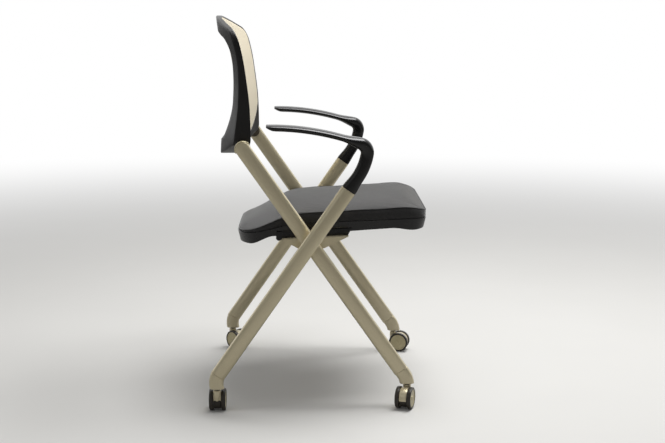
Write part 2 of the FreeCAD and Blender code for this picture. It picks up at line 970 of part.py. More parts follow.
def arm_arcs():
    """The three tangent arcs of an arm: radius and heading at the end of each."""
    return (
        (arm_bend_radius, arm_bend_end),
        (arm_hook_radius, arm_hook_end),
        (arm_blade_radius, arm_blade_end),
    )


def arm_marks():
    """Distances along an arm where its arcs end."""
    marks = [arm_sleeve]
    heading = leg_slope
    for radius, end in arm_arcs():
        marks.append(marks[-1] + math.radians(end - heading) * radius)
        heading = end
    return marks


def arm_stations():
    """Distances along the arm where its section is drawn."""
    sleeve, bend, hook, tip = arm_marks()
    turn = [bend + (hook - bend) * k / 4 for k in range(5)]
    blade = [hook + 20, hook + 60, hook + 120]
    return [0.0, sleeve] + turn + blade + [tip - arm_tip_run, tip - arm_tip_run * 0.3, tip]


def arm_section(s):
    """Half thickness and half width of the arm at s."""
    sleeve, bend, hook, tip = arm_marks()
    thick = tube_major - (tube_major - arm_neck) * smooth(s / sleeve)
    thick -= (arm_neck - arm_thickness) * smooth((s - (bend + hook) / 2) / 60)
    wide = tube_minor + (arm_width - tube_minor) * smooth((s - bend + 8) / (hook - bend + 30))
    end = min(max((s - tip + arm_tip_run) / arm_tip_run, 0.0), 1.0)
    wide -= (arm_width - arm_tip_width) * (1 - math.sqrt(1 - end * end))
    return thick / 2, wide / 2


def arm(y):
    """Moulded arm: a sleeve that carries on the tube, a hook and a flat blade."""
    wires = []
    for s in arm_stations():
        point, heading = arm_path(s)
        turn = math.radians(heading)
        along = V(math.cos(turn), 0, math.sin(turn))
        half_thick, half_wide = arm_section(s)
        wires.append(facet_wire(point + V(0, y, 0), along, half_thick, half_wide))
    body = Part.makeLoft(wires, True, True)
    seam = rear_leg_point(arm_seam_z, y)
    major = tube_major / 2 - tube_wall - spigot_fit
    minor = tube_minor / 2 - tube_wall - spigot_fit
    root = seam + rear_leg_up() * 10
    spigot = oval_bar(seam - rear_leg_up() * spigot_length, root, major, minor)
    body = body.fuse(spigot)
    tip, heading = arm_path(arm_marks()[-1])
    top = tip.z + arm_thickness / 2
    under = tip.z - arm_thickness / 2 - 10
    bevel = [
        (tip.x - 5, top - arm_tip_thickness + 1.5),
        (tip.x + arm_tip_run + 12, under + 5),
        (tip.x - 5, under),
    ]
    return body.cut(prism_y(bevel, y - arm_width, y + arm_width))


def wheel_part(profile):
    """Revolve an (r, y) profile about the axle, for the wheel on the +Y side."""
    wire = polygon([V(caster_trail + r, y, wheel_radius) for r, y in profile])
    return Part.Face(wire).revolve(V(caster_trail, 0, wheel_radius), Y_AXIS, 360)


def wheel():
    """Wheel with a plain tread and a blind bore."""
    bore = axle_radius + axle_fit
    return wheel_part([
        (bore, wheel_inner_y),
        (wheel_radius, wheel_inner_y),
        (wheel_radius, wheel_outer_y),
        (0, wheel_outer_y),
        (0, axle_end + 0.2),
        (bore, axle_end + 0.2),
    ])


def fender():
    """Block between the wheels, round about the axle above and tapered below."""
    x = caster_trail
    z = wheel_radius
    y = -body_half_width

    def at(angle):
        turn = math.radians(angle)
        return V(x + fender_radius * math.cos(turn), y, z + fender_radius * math.sin(turn))

    start = at(fender_start)
    end = at(fender_end)
    rim = Part.Arc(start, at((fender_start + fender_end) / 2), end).toShape()
    low = [end, V(-5, y, 40), V(-5, y, nose_low), V(x - 6, y, z - 6), V(x + 6, y, z - 6), start]
    under = Part.makePolygon(low)
    wire = Part.Wire([rim] + under.Edges)
    return Part.Face(wire).extrude(V(0, 2 * body_half_width, 0))


def stem_boss():
    """Six-sided boss under the stem, narrowing towards the bottom like a shield."""
    top = stem_boss_top
    wires = []
    for z, half in ((nose_low, nose_half_bottom), (top - 6, nose_half_top), (top, nose_half_top)):
        r = stem_boss_radius
        front = [V(-r, -half * 0.5, z), V(-r, half * 0.5, z), V(-r * 0.5, half, z)]
        rear = [V(r * 0.6, half, z), V(r * 0.6, -half, z), V(-r * 0.5, -half, z)]
        wires.append(polygon(front + rear))
    return Part.makeLoft(wires, True, True)


def caster_body():
    """Body with the wheel block, the tapered boss and the stem that swivels."""
    top = leg_end_z + socket_depth - stem_top_gap
    stem = Part.makeCylinder(stem_radius, top - stem_boss_top + 2, V(0, 0, stem_boss_top - 2))
    body = stem_boss().fuse([fender(), stem])
    bore = bar_y(axle_radius, caster_trail, wheel_radius, -30, 30)
    return body.cut(bore).removeSplitter()


def caster_axle():
    """Steel axle through the body and both wheels."""
    return bar_y(axle_radius, caster_trail, wheel_radius, -axle_end, axle_end)


def caster_parts():
    """All pieces of one caster, its stem on the origin and its wheels towards +X."""
    left = wheel()
    return {
        "body": caster_body(),
        "axle": caster_axle(),
        "wheel_a": left,
        "wheel_b": mirrored(left),
    }


def caster_places():
    """Name, stem position and rest direction of the trailing wheels."""
    return (
        ("right_rear", rear_stem_x, -rear_leg_plane, right_rear_turn),
        ("right_front", front_stem_x, -front_leg_plane, right_front_turn),
        ("left_front", front_stem_x, front_leg_plane, left_front_turn),
        ("left_rear", rear_stem_x, rear_leg_plane, left_rear_turn),
    )


def frame_nodes():
    """Every piece of the fixed frame."""
    front_up = front_leg_up()
    rear_up = rear_leg_up()
    nodes = {}
    rear_tube = rear_leg_tube(rear_leg_plane)
    front_tube = front_leg_tube(front_leg_plane)
    cap = leg_cap(front_leg_plane)
    left_arm = arm(rear_leg_plane)
    front_seam = front_leg_point(leg_seam_z, front_leg_plane)
    rear_seam = rear_leg_point(leg_seam_z, rear_leg_plane)
    front_end = leg_end(front_seam, front_up, front_stem_x)
    rear_end = leg_end(rear_seam, rear_up, rear_stem_x)
    bracket = back_bracket()
    pairs = (
        ("rear_leg_tube", rear_tube),
        ("front_leg_tube", front_tube),
        ("front_leg_end", front_end),
        ("rear_leg_end", rear_end),
        ("arm", left_arm),
        ("back_bracket", bracket),
    )
    for name, shape in pairs:
        nodes[name + "_left"] = shape
        nodes[name + "_right"] = mirrored(shape)
    nodes["leg_caps"] = both(cap)
    nodes["crossing_spacers"] = both(crossing_spacer())
    nodes["cross_beam"] = cross_beam()
    nodes["beam_end_plates"] = both(beam_plate_solid())
    nodes["hinge_lugs"] = both(hinge_lug())
    nodes["hinge_pins"] = both(hinge_pin())
    nodes["rest_bumpers"] = both(rest_bumper())
    nodes["back_frame"] = back_frame()
    nodes["back_mesh"] = back_mesh()
    nodes["back_screws"] = both(back_screw())
    return nodes


def seat_nodes():
    """Every piece that flips up with the seat."""
    return {
        "seat_cushion": seat_cushion(),
        "seat_pan": seat_pan(),
        "seat_bearer": seat_bearer(),
        "seat_screws": seat_screws(),
    }


def caster_nodes():
    """The four casters at their places and rest directions."""
    nodes = {}
    parts = caster_parts()
    for place, x, y, turn in caster_places():
        for name, shape in parts.items():
            piece = shape.copy()
            piece.rotate(V(0, 0, 0), Z_AXIS, turn)
            piece.translate(V(x, y, 0))
            nodes["caster_" + place + "_" + name] = piece
    return nodes


def main():
    os.makedirs("parts", exist_ok=True)
    nodes = frame_nodes()
    nodes.update(seat_nodes())
    nodes.update(caster_nodes())
    box = FreeCAD.BoundBox()
    for name, shape in nodes.items():
        shape.exportStep(os.path.join("parts", name + ".step"))
        box.add(shape.BoundBox)
        if not shape.isValid():
            print("not valid:", name)
        print(name, len(shape.Solids), round(shape.Volume / 1000, 2), "cm3")
    print("box", [round(v, 2) for v in (box.XMin, box.XMax, box.YMin, box.YMax, box.ZMin, box.ZMax)])
    hinge = seat_point(hinge_u, hinge_w)
    print("hinge", round(hinge.x, 3), round(hinge.z, 3))
    for place, x, y, turn in caster_places():
        angle = math.radians(turn)
        axle_x = x + caster_trail * math.cos(angle)
        axle_y = y + caster_trail * math.sin(angle)
        normal = (round(-math.sin(angle), 6), round(math.cos(angle), 6))
        print(place, "axle", round(axle_x, 3), round(axle_y, 3), "normal", normal)


main()
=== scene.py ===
"""Nesting chair: the visible pieces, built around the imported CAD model.

Shapes are worked out in millimetres, in the frame of the CAD model: +X is the front of
the chair, +Y the sitter's left, +Z up. They are turned to metres when a mesh is made.
"""

import math

import bmesh
import bpy
import numpy as np
from bpy.props import FloatProperty, FloatVectorProperty, PointerProperty
from mathutils import Matrix, Vector
from mathutils.bvhtree import BVHTree


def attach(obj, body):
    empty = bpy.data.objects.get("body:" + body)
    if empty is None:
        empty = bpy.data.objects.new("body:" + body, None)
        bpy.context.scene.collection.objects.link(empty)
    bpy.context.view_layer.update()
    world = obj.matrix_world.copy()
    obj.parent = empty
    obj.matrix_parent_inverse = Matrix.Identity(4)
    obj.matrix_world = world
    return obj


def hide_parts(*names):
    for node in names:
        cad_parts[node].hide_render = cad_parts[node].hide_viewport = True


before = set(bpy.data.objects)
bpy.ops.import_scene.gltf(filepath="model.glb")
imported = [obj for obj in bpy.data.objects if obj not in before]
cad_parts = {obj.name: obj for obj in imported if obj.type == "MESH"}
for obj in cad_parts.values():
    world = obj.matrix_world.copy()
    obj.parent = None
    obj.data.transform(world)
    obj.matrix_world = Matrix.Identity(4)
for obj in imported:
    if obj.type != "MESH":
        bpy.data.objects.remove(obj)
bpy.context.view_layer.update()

bl_info = {
    "name": "Nesting Chair",
    "version": (1, 0, 0),
    "blender": (4, 5, 0),
    "location": "3D View > Sidebar > Nesting Chair",
    "description": "Builds the visible pieces of a nesting chair on casters",
    "category": "Add Mesh",
}

MM = 0.001

# Crossed legs
LEG_SLOPE = math.radians(55.1)
CROSSING = (-20.0, 381.0)
REAR_LEG_PLANE = 272.0
FRONT_LEG_PLANE = 236.0
REAR_STEM_X = -229.0
FRONT_STEM_X = 201.0
LEG_SEAM_Z = 85.0
ARM_SEAM_Z = 504.5
FRONT_LEG_END_Z = 590.0
LEG_END_Z = 54.5
LEG_END_NECK = 2.0
LEG_END_MAJOR = 33.0
LEG_END_MINOR = 22.0
LEG_END_ROUND = 1.4
TUBE_MAJOR = 34.0
TUBE_MINOR = 20.0
TUBE_POWER = 2.6
RING_SIDES = 72
CAP_TURN = 86.0
CAP_HALF = 9.6
BOSS_ROUND = 14.6
BOSS_FOOT = 12.6
BOSS_DEPTH = 23.0

# Arms
ARM_SLEEVE = 33.0
ARM_ARCS = ((130.0, 80.0), (21.0, 160.0), (573.0, 181.0))
ARM_NECK = 29.0
ARM_THICKNESS = 14.6
ARM_WIDTH = 50.0
ARM_TIP_WIDTH = 38.0
ARM_TIP_RUN = 15.0
ARM_TIP_ROUND = 2.0
ARM_BLEND = 60.0
ARM_FLATTER = 0.4
ARM_BEVEL = 0.516
ARM_BEVEL_START = 1.9
ARM_BEVEL_DEPTH = 4.0
SEAM_EASE = 0.6

# Back
BACK_HALF_WIDTH = 205.0
BACK_ARC_HALF = 210.0
BACK_TOP = (882.0, 35.0)
BACK_BOTTOM = (560.0, 38.0)
BACK_CORNERS = (24.0, 10.0)
FRONT_WRAP = 40.0
REAR_WRAP = 44.0
RAIL = 35.0
SIDE_RAIL = 37.0
WINDOW_CORNERS = (35.0, 80.0)
MESH_RIM = 5.0
MESH_GAP = 0.2
MESH_BOTTOM_MARGIN = 17.0
MESH_BOTTOM_CORNER = 62.0
MESH_RECESS = 2.7
MESH_DEPTH = 0.9
RECESS_EDGE = 0.6
WINDOW_EDGE = 0.5
BACK_MIDDLE = (0.0, 725.0)
BACK_HEIGHTS = (550.0, 600.0, 690.0, 740.0, 790.0, 845.0, 895.0)
BACK_FRONT_X = (-147.0, -148.0, -150.5, -156.0, -163.5, -177.0, -190.0)
BACK_DEPTH = (42.0, 38.0, 25.0, 18.0, 14.0, 13.0, 6.0)

# Seat
SEAT_REAR = -184.0
SEAT_FRONT = 247.0
SEAT_HALF = 211.0
SEAT_CORNER = 56.0
SEAT_REAR_CORNER = 125.0
ROLL_START = -40.0
FRONT_ROLL_START = 185.0
FRONT_ROLL_END = 256.0
SEAM_INSET = 4.0
REAR_REACH = 9.0
FRONT_REACH = 4.0
REAR_ROUND = 150.0
FRONT_ROUND = 34.0
CUSHION_SINK = 3.0
CROWN = 6.0
REAR_CROWN = 10.0
REAR_CROWN_START = -20.0
REAR_CROWN_RUN = 80.0
SIDE_BOW = 0.12
FOOT_DRAW = 1.5
SEAT_MIDDLE = ((SEAT_REAR + SEAT_FRONT) / 2, 0.0)
PAN_INSET = 4.0
PAN_DRAFT = 6.0
PAN_WALL = 3.0
PAN_EDGE = 0.6
PAN_LIP = 1.0
PAN_LIP_HALF = 1.4
RIB_PITCH_X = 110.0
RIB_PITCH_Y = 112.0
RIB_ROOT = 1.25
RIB_FOOT = 1.0

# Lines round the seat: level at x = 0, slope, fall to the rear and fall to the front
SEAM_LINE = (446.0, 0.055, 42.0, 30.0)
PARTING_LINE = (421.5, 0.04, 26.0, 9.0)
PAN_LINE = (395.8, 0.068, 20.0, 9.0)
PAN_FALL_STARTS = (-105.0, 170.0)
PAN_FALL_RUN = 60.0

# Filling of the cushion
COVER_VOXEL = 5.0
FILL_PRESSURE = 4.0
FILL_CAP = 6.0
FILL_FRAMES = 20
SEAM_HOLD = 4.0
FOOT_HOLD = 1.0

# Casters
WHEEL_RADIUS = 25.0
WHEEL_INNER = 9.2
WHEEL_OUTER = 18.5
CASTER_TRAIL = 16.0
TYRE_BORE = 20.6
AXLE_BORE = 2.56
CORE_HALF = 7.9
CORE_RADIUS = 20.0
CORE_EDGE = 1.2
FENDER_RADIUS = 23.0
FENDER_HALF = 8.5
FENDER_EDGE = 0.9
SHIELD_FOOT = (27.0, 1.5)
SHIELD_TOP = (51.5, 2.0)
SHIELD_POWER = 0.72
CASTERS = (
    ("right_rear", REAR_STEM_X, -REAR_LEG_PLANE, 90.0),
    ("right_front", FRONT_STEM_X, -FRONT_LEG_PLANE, -109.0),
    ("left_front", FRONT_STEM_X, FRONT_LEG_PLANE, -15.0),
    ("left_rear", REAR_STEM_X, REAR_LEG_PLANE, -45.0),
)

# Camera, from the photograph's own lines
PHOTO_WIDTH = 665.0
PHOTO_FOCAL = 1200.0
SENSOR = 36.0
CAMERA_PLACE = (-6.66, -2873.35, 880.06)
CAMERA_DOWN = 0.169375
CAMERA_YAW = 0.014385

# Stage; a lamp has a name, a place, an aim and a size in metres, and a power in watts
FLOOR_REACH = 30000.0
SOFT_LIGHT = 0.37
# Painted shade: how dark reflections see the floor
FLOOR_REFLECTION_SHADE = 0.55
LAMPS = (
    ("overhead", (0.7, 0.3, 2.8), (0.0, 0.0, 0.35), 1.7, 80.0),
    ("fill", (-1.6, -2.6, 1.7), (0.0, 0.0, 0.45), 1.6, 3.0),
)

SIDES = (("left", 1.0), ("right", -1.0))


# Shapes of the legs and arms


def smooth(t):
    """A soft step from 0 to 1: three t squared less two t cubed."""
    t = np.clip(t, 0.0, 1.0)
    return t * t * (3 - 2 * t)


def through(at, places, values):
    """A cubic curve through the values, its slope at each place the mean of its two sides."""
    places, values = np.array(places), np.array(values)
    slopes = np.gradient(values, places)
    i = np.clip(np.searchsorted(places, at) - 1, 0, len(places) - 2)
    step = places[i + 1] - places[i]
    t = (at - places[i]) / step
    rise = smooth(t)
    first = t * (1 - t) ** 2 * step * slopes[i]
    last = t * t * (t - 1) * step * slopes[i + 1]
    return values[i] * (1 - rise) + values[i + 1] * rise + first + last


def rounded(wave, power):
    """A sine or cosine with its sign kept and its size raised to a power."""
    return np.sign(wave) * np.abs(wave) ** power


def stacked(x, y, z):
    """Three arrays as one grid of points."""
    return np.stack(np.broadcast_arrays(x, y, z), axis=-1).astype(float)


def build_piece(name, grids, sharp=35.0):
    """Join grids of points, in millimetres, into one mesh with outward faces.

    Rows and columns of each grid become quads. Points that coincide are merged, which
    closes seams and poles.
    """
    points = []
    quads = []
    start = 0
    for grid in grids:
        rows, cols = grid.shape[:2]
        index = start + np.arange(rows * cols).reshape(rows, cols)
        corners = (index[:-1, :-1], index[:-1, 1:], index[1:, 1:], index[1:, :-1])
        quads.append(np.stack(corners, axis=-1).reshape(-1, 4))
        points.append(grid.reshape(-1, 3))
        start += rows * cols
    mesh = bpy.data.meshes.new(name)
    vertices = np.concatenate(points) * MM
    mesh.from_pydata(vertices.tolist(), [], np.concatenate(quads).tolist())
    shell = bmesh.new()
    shell.from_mesh(mesh)
    bmesh.ops.remove_doubles(shell, verts=shell.verts, dist=2e-6)
    bmesh.ops.recalc_face_normals(shell, faces=shell.faces)
    shell.to_mesh(mesh)
    shell.free()
    mesh.shade_smooth()
    mesh.set_sharp_from_angle(angle=math.radians(sharp))
    piece = bpy.data.objects.new(name, mesh)
    bpy.context.scene.collection.objects.link(piece)
    return piece


def settle(piece, material, slot, body, *nodes):
    """Give a piece its material and body, and hide the CAD nodes it stands for. The slot is not used."""
    piece.data.materials.clear()
    piece.data.materials.append(finish(material))
    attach(piece, body)
    if nodes:
        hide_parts(*nodes)


def ring_grid(points, alongs, major, minor, y, power, sides, clip=None):
    """Rings of a superellipse, each square to a path in the XZ plane.

    A ring's first half size lies in that plane and its second along Y. The superellipse
    is |p| to the power plus |q| to the power equals one. A clip cuts the first half
    size off flat.
    """
    angle = np.linspace(0, 2 * np.pi, sides + 1)[None, :]
    power = np.broadcast_to(power, len(points))[:, None]
    p = rounded(np.cos(angle), 2 / power) * major[:, None]
    q = rounded(np.sin(angle), 2 / power)
    if clip is not None:
        p = np.clip(p, -clip[:, None], clip[:, None])
    x = points[:, :1] + alongs[:, 1:] * p
    z = points[:, 1:] - alongs[:, :1] * p
    return stacked(x, y + q * minor[:, None], z)


def eased(points, alongs, major, minor, first, last):
    """Add a quarter-round and a closing pole to each end of a path of rings."""
    turn = np.linspace(0, np.pi / 2, 5)[:-1]

    def end(i, radius, sign):
        shift = sign * radius * (1 - np.cos(turn))
        shrink = radius * (1 - np.sin(turn))
        at = points[i] + alongs[i] * shift[:, None]
        at = np.vstack([points[i], at])
        along = np.repeat(alongs[i][None, :], len(at), axis=0)
        a = np.append(0.0, major[i] - shrink)
        b = np.append(0.0, minor[i] - shrink)
        return at, along, a, b

    def inner(i, radius, sign):
        return points[i] + alongs[i] * sign * radius

    middle = points.copy()
    middle[0] = inner(0, first, 1)
    middle[-1] = inner(-1, last, -1)
    head = end(0, first, 1)
    tail = [part[::-1] for part in end(-1, last, -1)]
    body = (middle, alongs, major, minor)
    return [np.concatenate(parts) for parts in zip(head, body, tail)]


def carried(points, alongs, major, minor, y, power, first, last):
    """A superellipse carried along a path, its ends closed and rounded by two radii."""
    count = len(points)
    major = np.broadcast_to(np.asarray(major, float), count)
    minor = np.broadcast_to(np.asarray(minor, float), count)
    points, alongs, major, minor = eased(points, alongs, major, minor, first, last)
    if np.ndim(power):
        extra = (len(points) - count) // 2
        power = np.concatenate([[power[0]] * extra, power, [power[-1]] * extra])
    return ring_grid(points, alongs, major, minor, y, power, RING_SIDES)


def leg_point(z, lean):
    """Point on a leg's axis. A lean of -1 rises to the rear and 1 to the front."""
    return np.array([CROSSING[0] + lean * (z - CROSSING[1]) / math.tan(LEG_SLOPE), z])


def leg_up(lean):
    """Direction of a leg, upwards."""
    return np.array([lean * math.cos(LEG_SLOPE), math.sin(LEG_SLOPE)])


def elbow_path(lean, stem_x, steps=28):
    """Centre line of a leg end: sections fanned about one pivot, then a short foot.

    The pivot is where the plane of the seam meets the level plane of the foot. The
    reach from it changes evenly from the seam's to the foot's.
    """
    seam = leg_point(LEG_SEAM_Z, lean)
    foot_z = LEG_END_Z + LEG_END_NECK
    seam_reach = (seam[1] - foot_z) / math.cos(LEG_SLOPE)
    pivot_x = seam[0] + lean * seam_reach * math.sin(LEG_SLOPE)
    foot_reach = abs(pivot_x - stem_x)
    t = np.linspace(0, 1, steps)
    reach = seam_reach + (foot_reach - seam_reach) * t
    turn = (np.pi / 2 - LEG_SLOPE) * (1 - t)
    points = np.stack([pivot_x - lean * np.cos(turn) * reach, foot_z + np.sin(turn) * reach], 1)
    alongs = np.stack([lean * np.sin(turn), np.cos(turn)], 1)
    points = np.vstack([points, [stem_x, LEG_END_Z]])
    alongs = np.vstack([alongs, [0.0, 1.0]])
    return points, -alongs, np.append(t, 1.0)


def arm_line(s):
    """Points and headings along the arm's centre line: a straight sleeve and three arcs."""
    point = leg_point(ARM_SEAM_Z, 1)
    heading = LEG_SLOPE
    start = np.array([math.cos(heading), math.sin(heading)])
    points = point + start * np.minimum(s, ARM_SLEEVE)[:, None]
    headings = np.full(len(s), heading)
    point = point + start * ARM_SLEEVE
    begun = ARM_SLEEVE
    for radius, end in ARM_ARCS:
        span = (math.radians(end) - heading) * radius
        part = np.clip(s - begun, 0, span)
        middle = heading + part / radius / 2
        chord = 2 * radius * np.sin(part / radius / 2)
        reached = point + np.stack([np.cos(middle), np.sin(middle)], 1) * chord[:, None]
        inside = s > begun
        points[inside] = reached[inside]
        headings[inside] = (heading + part / radius)[inside]
        middle = heading + span / radius / 2
        chord = 2 * radius * math.sin(span / radius / 2)
        point = point + np.array([math.cos(middle), math.sin(middle)]) * chord
        heading = math.radians(end)
        begun += span
    return points, headings


def arm_marks():
    """Distances along an arm where its sleeve and arcs end."""
    marks = [ARM_SLEEVE]
    heading = LEG_SLOPE
    for radius, end in ARM_ARCS:
        marks.append(marks[-1] + (math.radians(end) - heading) * radius)
        heading = math.radians(end)
    return marks


def arm_grid(y):
    """The arm: an oval that turns from the tube's size to a broad flat blade.

    Its thickness and width follow soft steps along the line, its plan closes in an
    ellipse at the tip, and a slanted plane bevels the tip from below.
    """
    sleeve, bend, hook, tip = arm_marks()
    s = np.concatenate([
        np.linspace(0, bend, 22)[:-1],
        np.linspace(bend, hook, 22)[:-1],
        np.linspace(hook, tip - ARM_TIP_RUN, 34)[:-1],
        tip - ARM_TIP_RUN * (1 - np.sin(np.linspace(0, np.pi / 2, 12))),
    ])
    points, headings = arm_line(s)
    alongs = np.stack([np.cos(headings), np.sin(headings)], 1)
    thick = TUBE_MAJOR - (TUBE_MAJOR - ARM_NECK) * smooth(s / sleeve)
    thick = thick - (ARM_NECK - ARM_THICKNESS) * smooth((s - (bend + hook) / 2) / ARM_BLEND)
    wide = TUBE_MINOR + (ARM_WIDTH - TUBE_MINOR) * smooth((s - bend + 8) / (hook - bend + 30))
    end = np.clip((s - tip + ARM_TIP_RUN) / ARM_TIP_RUN, 0, 1)
    wide = wide - (ARM_WIDTH - ARM_TIP_WIDTH) * (1 - np.sqrt(1 - end * end))
    power = TUBE_POWER - ARM_FLATTER * smooth((s - bend) / ARM_BLEND)
    grid = carried(points, alongs, thick / 2, wide / 2, y, power, SEAM_EASE, ARM_TIP_ROUND)
    tip_x, tip_z = points[-1]
    cut = tip_z + ARM_BEVEL_START - ARM_BEVEL * (grid[..., 0] - tip_x)
    near = (grid[..., 0] < tip_x + 30) & (grid[..., 2] > tip_z - 20)
    bevelled = np.maximum(grid[..., 2], np.minimum(cut, tip_z + ARM_BEVEL_DEPTH))
    grid[..., 2] = np.where(near, bevelled, grid[..., 2])
    return grid


def front_leg_grid(y):
    """Front leg: an oval tube whose upper end is cut round about the Y axis."""
    low = leg_point(LEG_SEAM_Z, -1)
    centre = leg_point(FRONT_LEG_END_Z, -1)
    up = leg_up(-1)
    count = 4
    t = np.linspace(0, 1, count)[:, None]
    points, alongs, major, minor = eased(
        low + (centre - low) * t,
        np.repeat(up[None, :], count, axis=0),
        np.full(count, TUBE_MAJOR / 2),
        np.full(count, TUBE_MINOR / 2),
        SEAM_EASE,
        0.0,
    )
    points, alongs, major, minor = (part[:-5] for part in (points, alongs, major, minor))
    turn = np.linspace(0, np.pi / 2, 20)
    tip = centre + up * (TUBE_MAJOR / 2 * np.sin(turn))[:, None]
    points = np.vstack([points, tip])
    alongs = np.vstack([alongs, np.repeat(up[None, :], len(turn), axis=0)])
    clip = np.concatenate([major, TUBE_MAJOR / 2 * np.cos(turn)])
    major = np.concatenate([major, np.full(len(turn), TUBE_MAJOR / 2)])
    minor = np.concatenate([minor, np.full(len(turn), TUBE_MINOR / 2)])
    return ring_grid(points, alongs, major, minor, y, TUBE_POWER, 96, clip)


def cap_rim_grid(y, rim):
    """Rim of an end cap: a rounded strip bent round the tube's end, tapering to both sides."""
    centre = leg_point(FRONT_LEG_END_Z, -1)
    up = leg_up(-1)
    turn = np.radians(np.linspace(-CAP_TURN, CAP_TURN, 49))[:, None]
    section = np.linspace(0, 2 * np.pi, 25)[None, :]
    p = rounded(np.cos(section), 0.5)
    q = rounded(np.sin(section), 0.4)
    half = 0.5 + CAP_HALF * np.cos(turn)
    taper = np.sqrt(np.clip(1 - (turn / turn[-1]) ** 8, 0, 1))
    radius = TUBE_MAJOR / 2 + rim / 2 + (rim / 2 + 0.4) * p * taper
    x = centre[0] + radius * (up[0] * np.cos(turn) + up[1] * np.sin(turn))
    z = centre[1] + radius * (up[1] * np.cos(turn) - up[0] * np.sin(turn))
    return stacked(x, y + half * q * taper, z)


def bracket_grid(y, sign):
    """Bracket between a leg's end and the back: a round boss with a stepped foot."""
    centre = leg_point(FRONT_LEG_END_Z, -1)
    profile = [(0.0, 2.4), (13.0, 2.4)]
    profile += corner_round((BOSS_ROUND, 1.2), 1.2, 90, 0)
    profile += corner_round((BOSS_ROUND, -8.0), 1.4, 0, -90, 4)
    profile += [(BOSS_FOOT, -9.6), (BOSS_FOOT, -BOSS_DEPTH), (0.0, -BOSS_DEPTH)]
    r, across = np.array(profile).T[:, :, None]
    turn = np.linspace(0, 2 * np.pi, 65)[None, :]
    x = centre[0] + r * np.cos(turn)
    z = centre[1] + r * np.sin(turn)
    return stacked(x, sign * (y - TUBE_MINOR / 2 + across), z)


# Shapes of the back


def back_x(y, z, rear=False):
    """Front or rear face of the back: a cubic in height, less a level circular arc."""
    x = through(z, BACK_HEIGHTS, BACK_FRONT_X)
    wrap = FRONT_WRAP
    if rear:
        x = x - through(z, BACK_HEIGHTS, BACK_DEPTH)
        wrap = REAR_WRAP
    radius = (BACK_ARC_HALF**2 + wrap**2) / (2 * wrap)
    return x - wrap + radius - np.sqrt(radius**2 - np.clip(y, -BACK_ARC_HALF, BACK_ARC_HALF) ** 2)


def arched_outline(half, top, top_arch, bottom, bottom_arch, corners):
    """Outline seen from the front: parabolic arches, straight sides, rounded corners.

    Each corner is a cubic curve whose handles are 0.55 of its radius. The points run
    round once and the last repeats the first.
    """
    top_corner, bottom_corner = corners

    def arch(y, level, rise, sign):
        return level - sign * rise * (y / half) ** 2

    def bend(a, corner, b):
        t = np.linspace(0, 1, 15)[1:-1, None]
        c, d = a + 0.55 * (corner - a), b + 0.55 * (corner - b)
        return a * (1 - t) ** 3 + 3 * c * t * (1 - t) ** 2 + 3 * d * t * t * (1 - t) + b * t**3

    def edge(level, rise, sign, radius):
        y = np.linspace(-(half - radius), half - radius, 49)
        return np.stack([y, arch(y, level, rise, sign)], 1)

    low = edge(bottom, bottom_arch, -1, bottom_corner)
    high = edge(top, top_arch, 1, top_corner)[::-1]
    low_side = bottom + bottom_arch + bottom_corner
    high_side = top - top_arch - top_corner
    z = np.linspace(low_side, high_side, 45)
    right = np.stack([np.full(45, half), z], 1)
    left = np.stack([np.full(45, -half), z[::-1]], 1)
    foot = bottom + bottom_arch
    head = top - top_arch
    parts = [
        low,
        bend(low[-1], np.array([half, foot]), right[0]),
        right,
        bend(right[-1], np.array([half, head]), high[0]),
        high,
        bend(high[-1], np.array([-half, head]), left[0]),
        left,
        bend(left[-1], np.array([-half, foot]), low[0]),
        low[:1],
    ]
    return np.concatenate(parts)


def drawn_in(arch, inset):
    """An arch's rise after its half width is drawn in by an inset."""
    return arch * ((BACK_HALF_WIDTH - inset) / BACK_HALF_WIDTH) ** 2


def back_outline():
    return arched_outline(BACK_HALF_WIDTH, *BACK_TOP, *BACK_BOTTOM, BACK_CORNERS)


def window_outline():
    return arched_outline(
        BACK_HALF_WIDTH - SIDE_RAIL,
        BACK_TOP[0] - RAIL,
        drawn_in(BACK_TOP[1], SIDE_RAIL),
        BACK_BOTTOM[0] + RAIL,
        drawn_in(BACK_BOTTOM[1], SIDE_RAIL),
        WINDOW_CORNERS,
    )


def mesh_outline(gap):
    inset = MESH_RIM + gap
    return arched_outline(
        BACK_HALF_WIDTH - inset,
        BACK_TOP[0] - inset,
        drawn_in(BACK_TOP[1], inset),
        BACK_BOTTOM[0] + MESH_BOTTOM_MARGIN + gap,
        drawn_in(BACK_BOTTOM[1], inset),
        (BACK_CORNERS[0] - inset, MESH_BOTTOM_CORNER),
    )


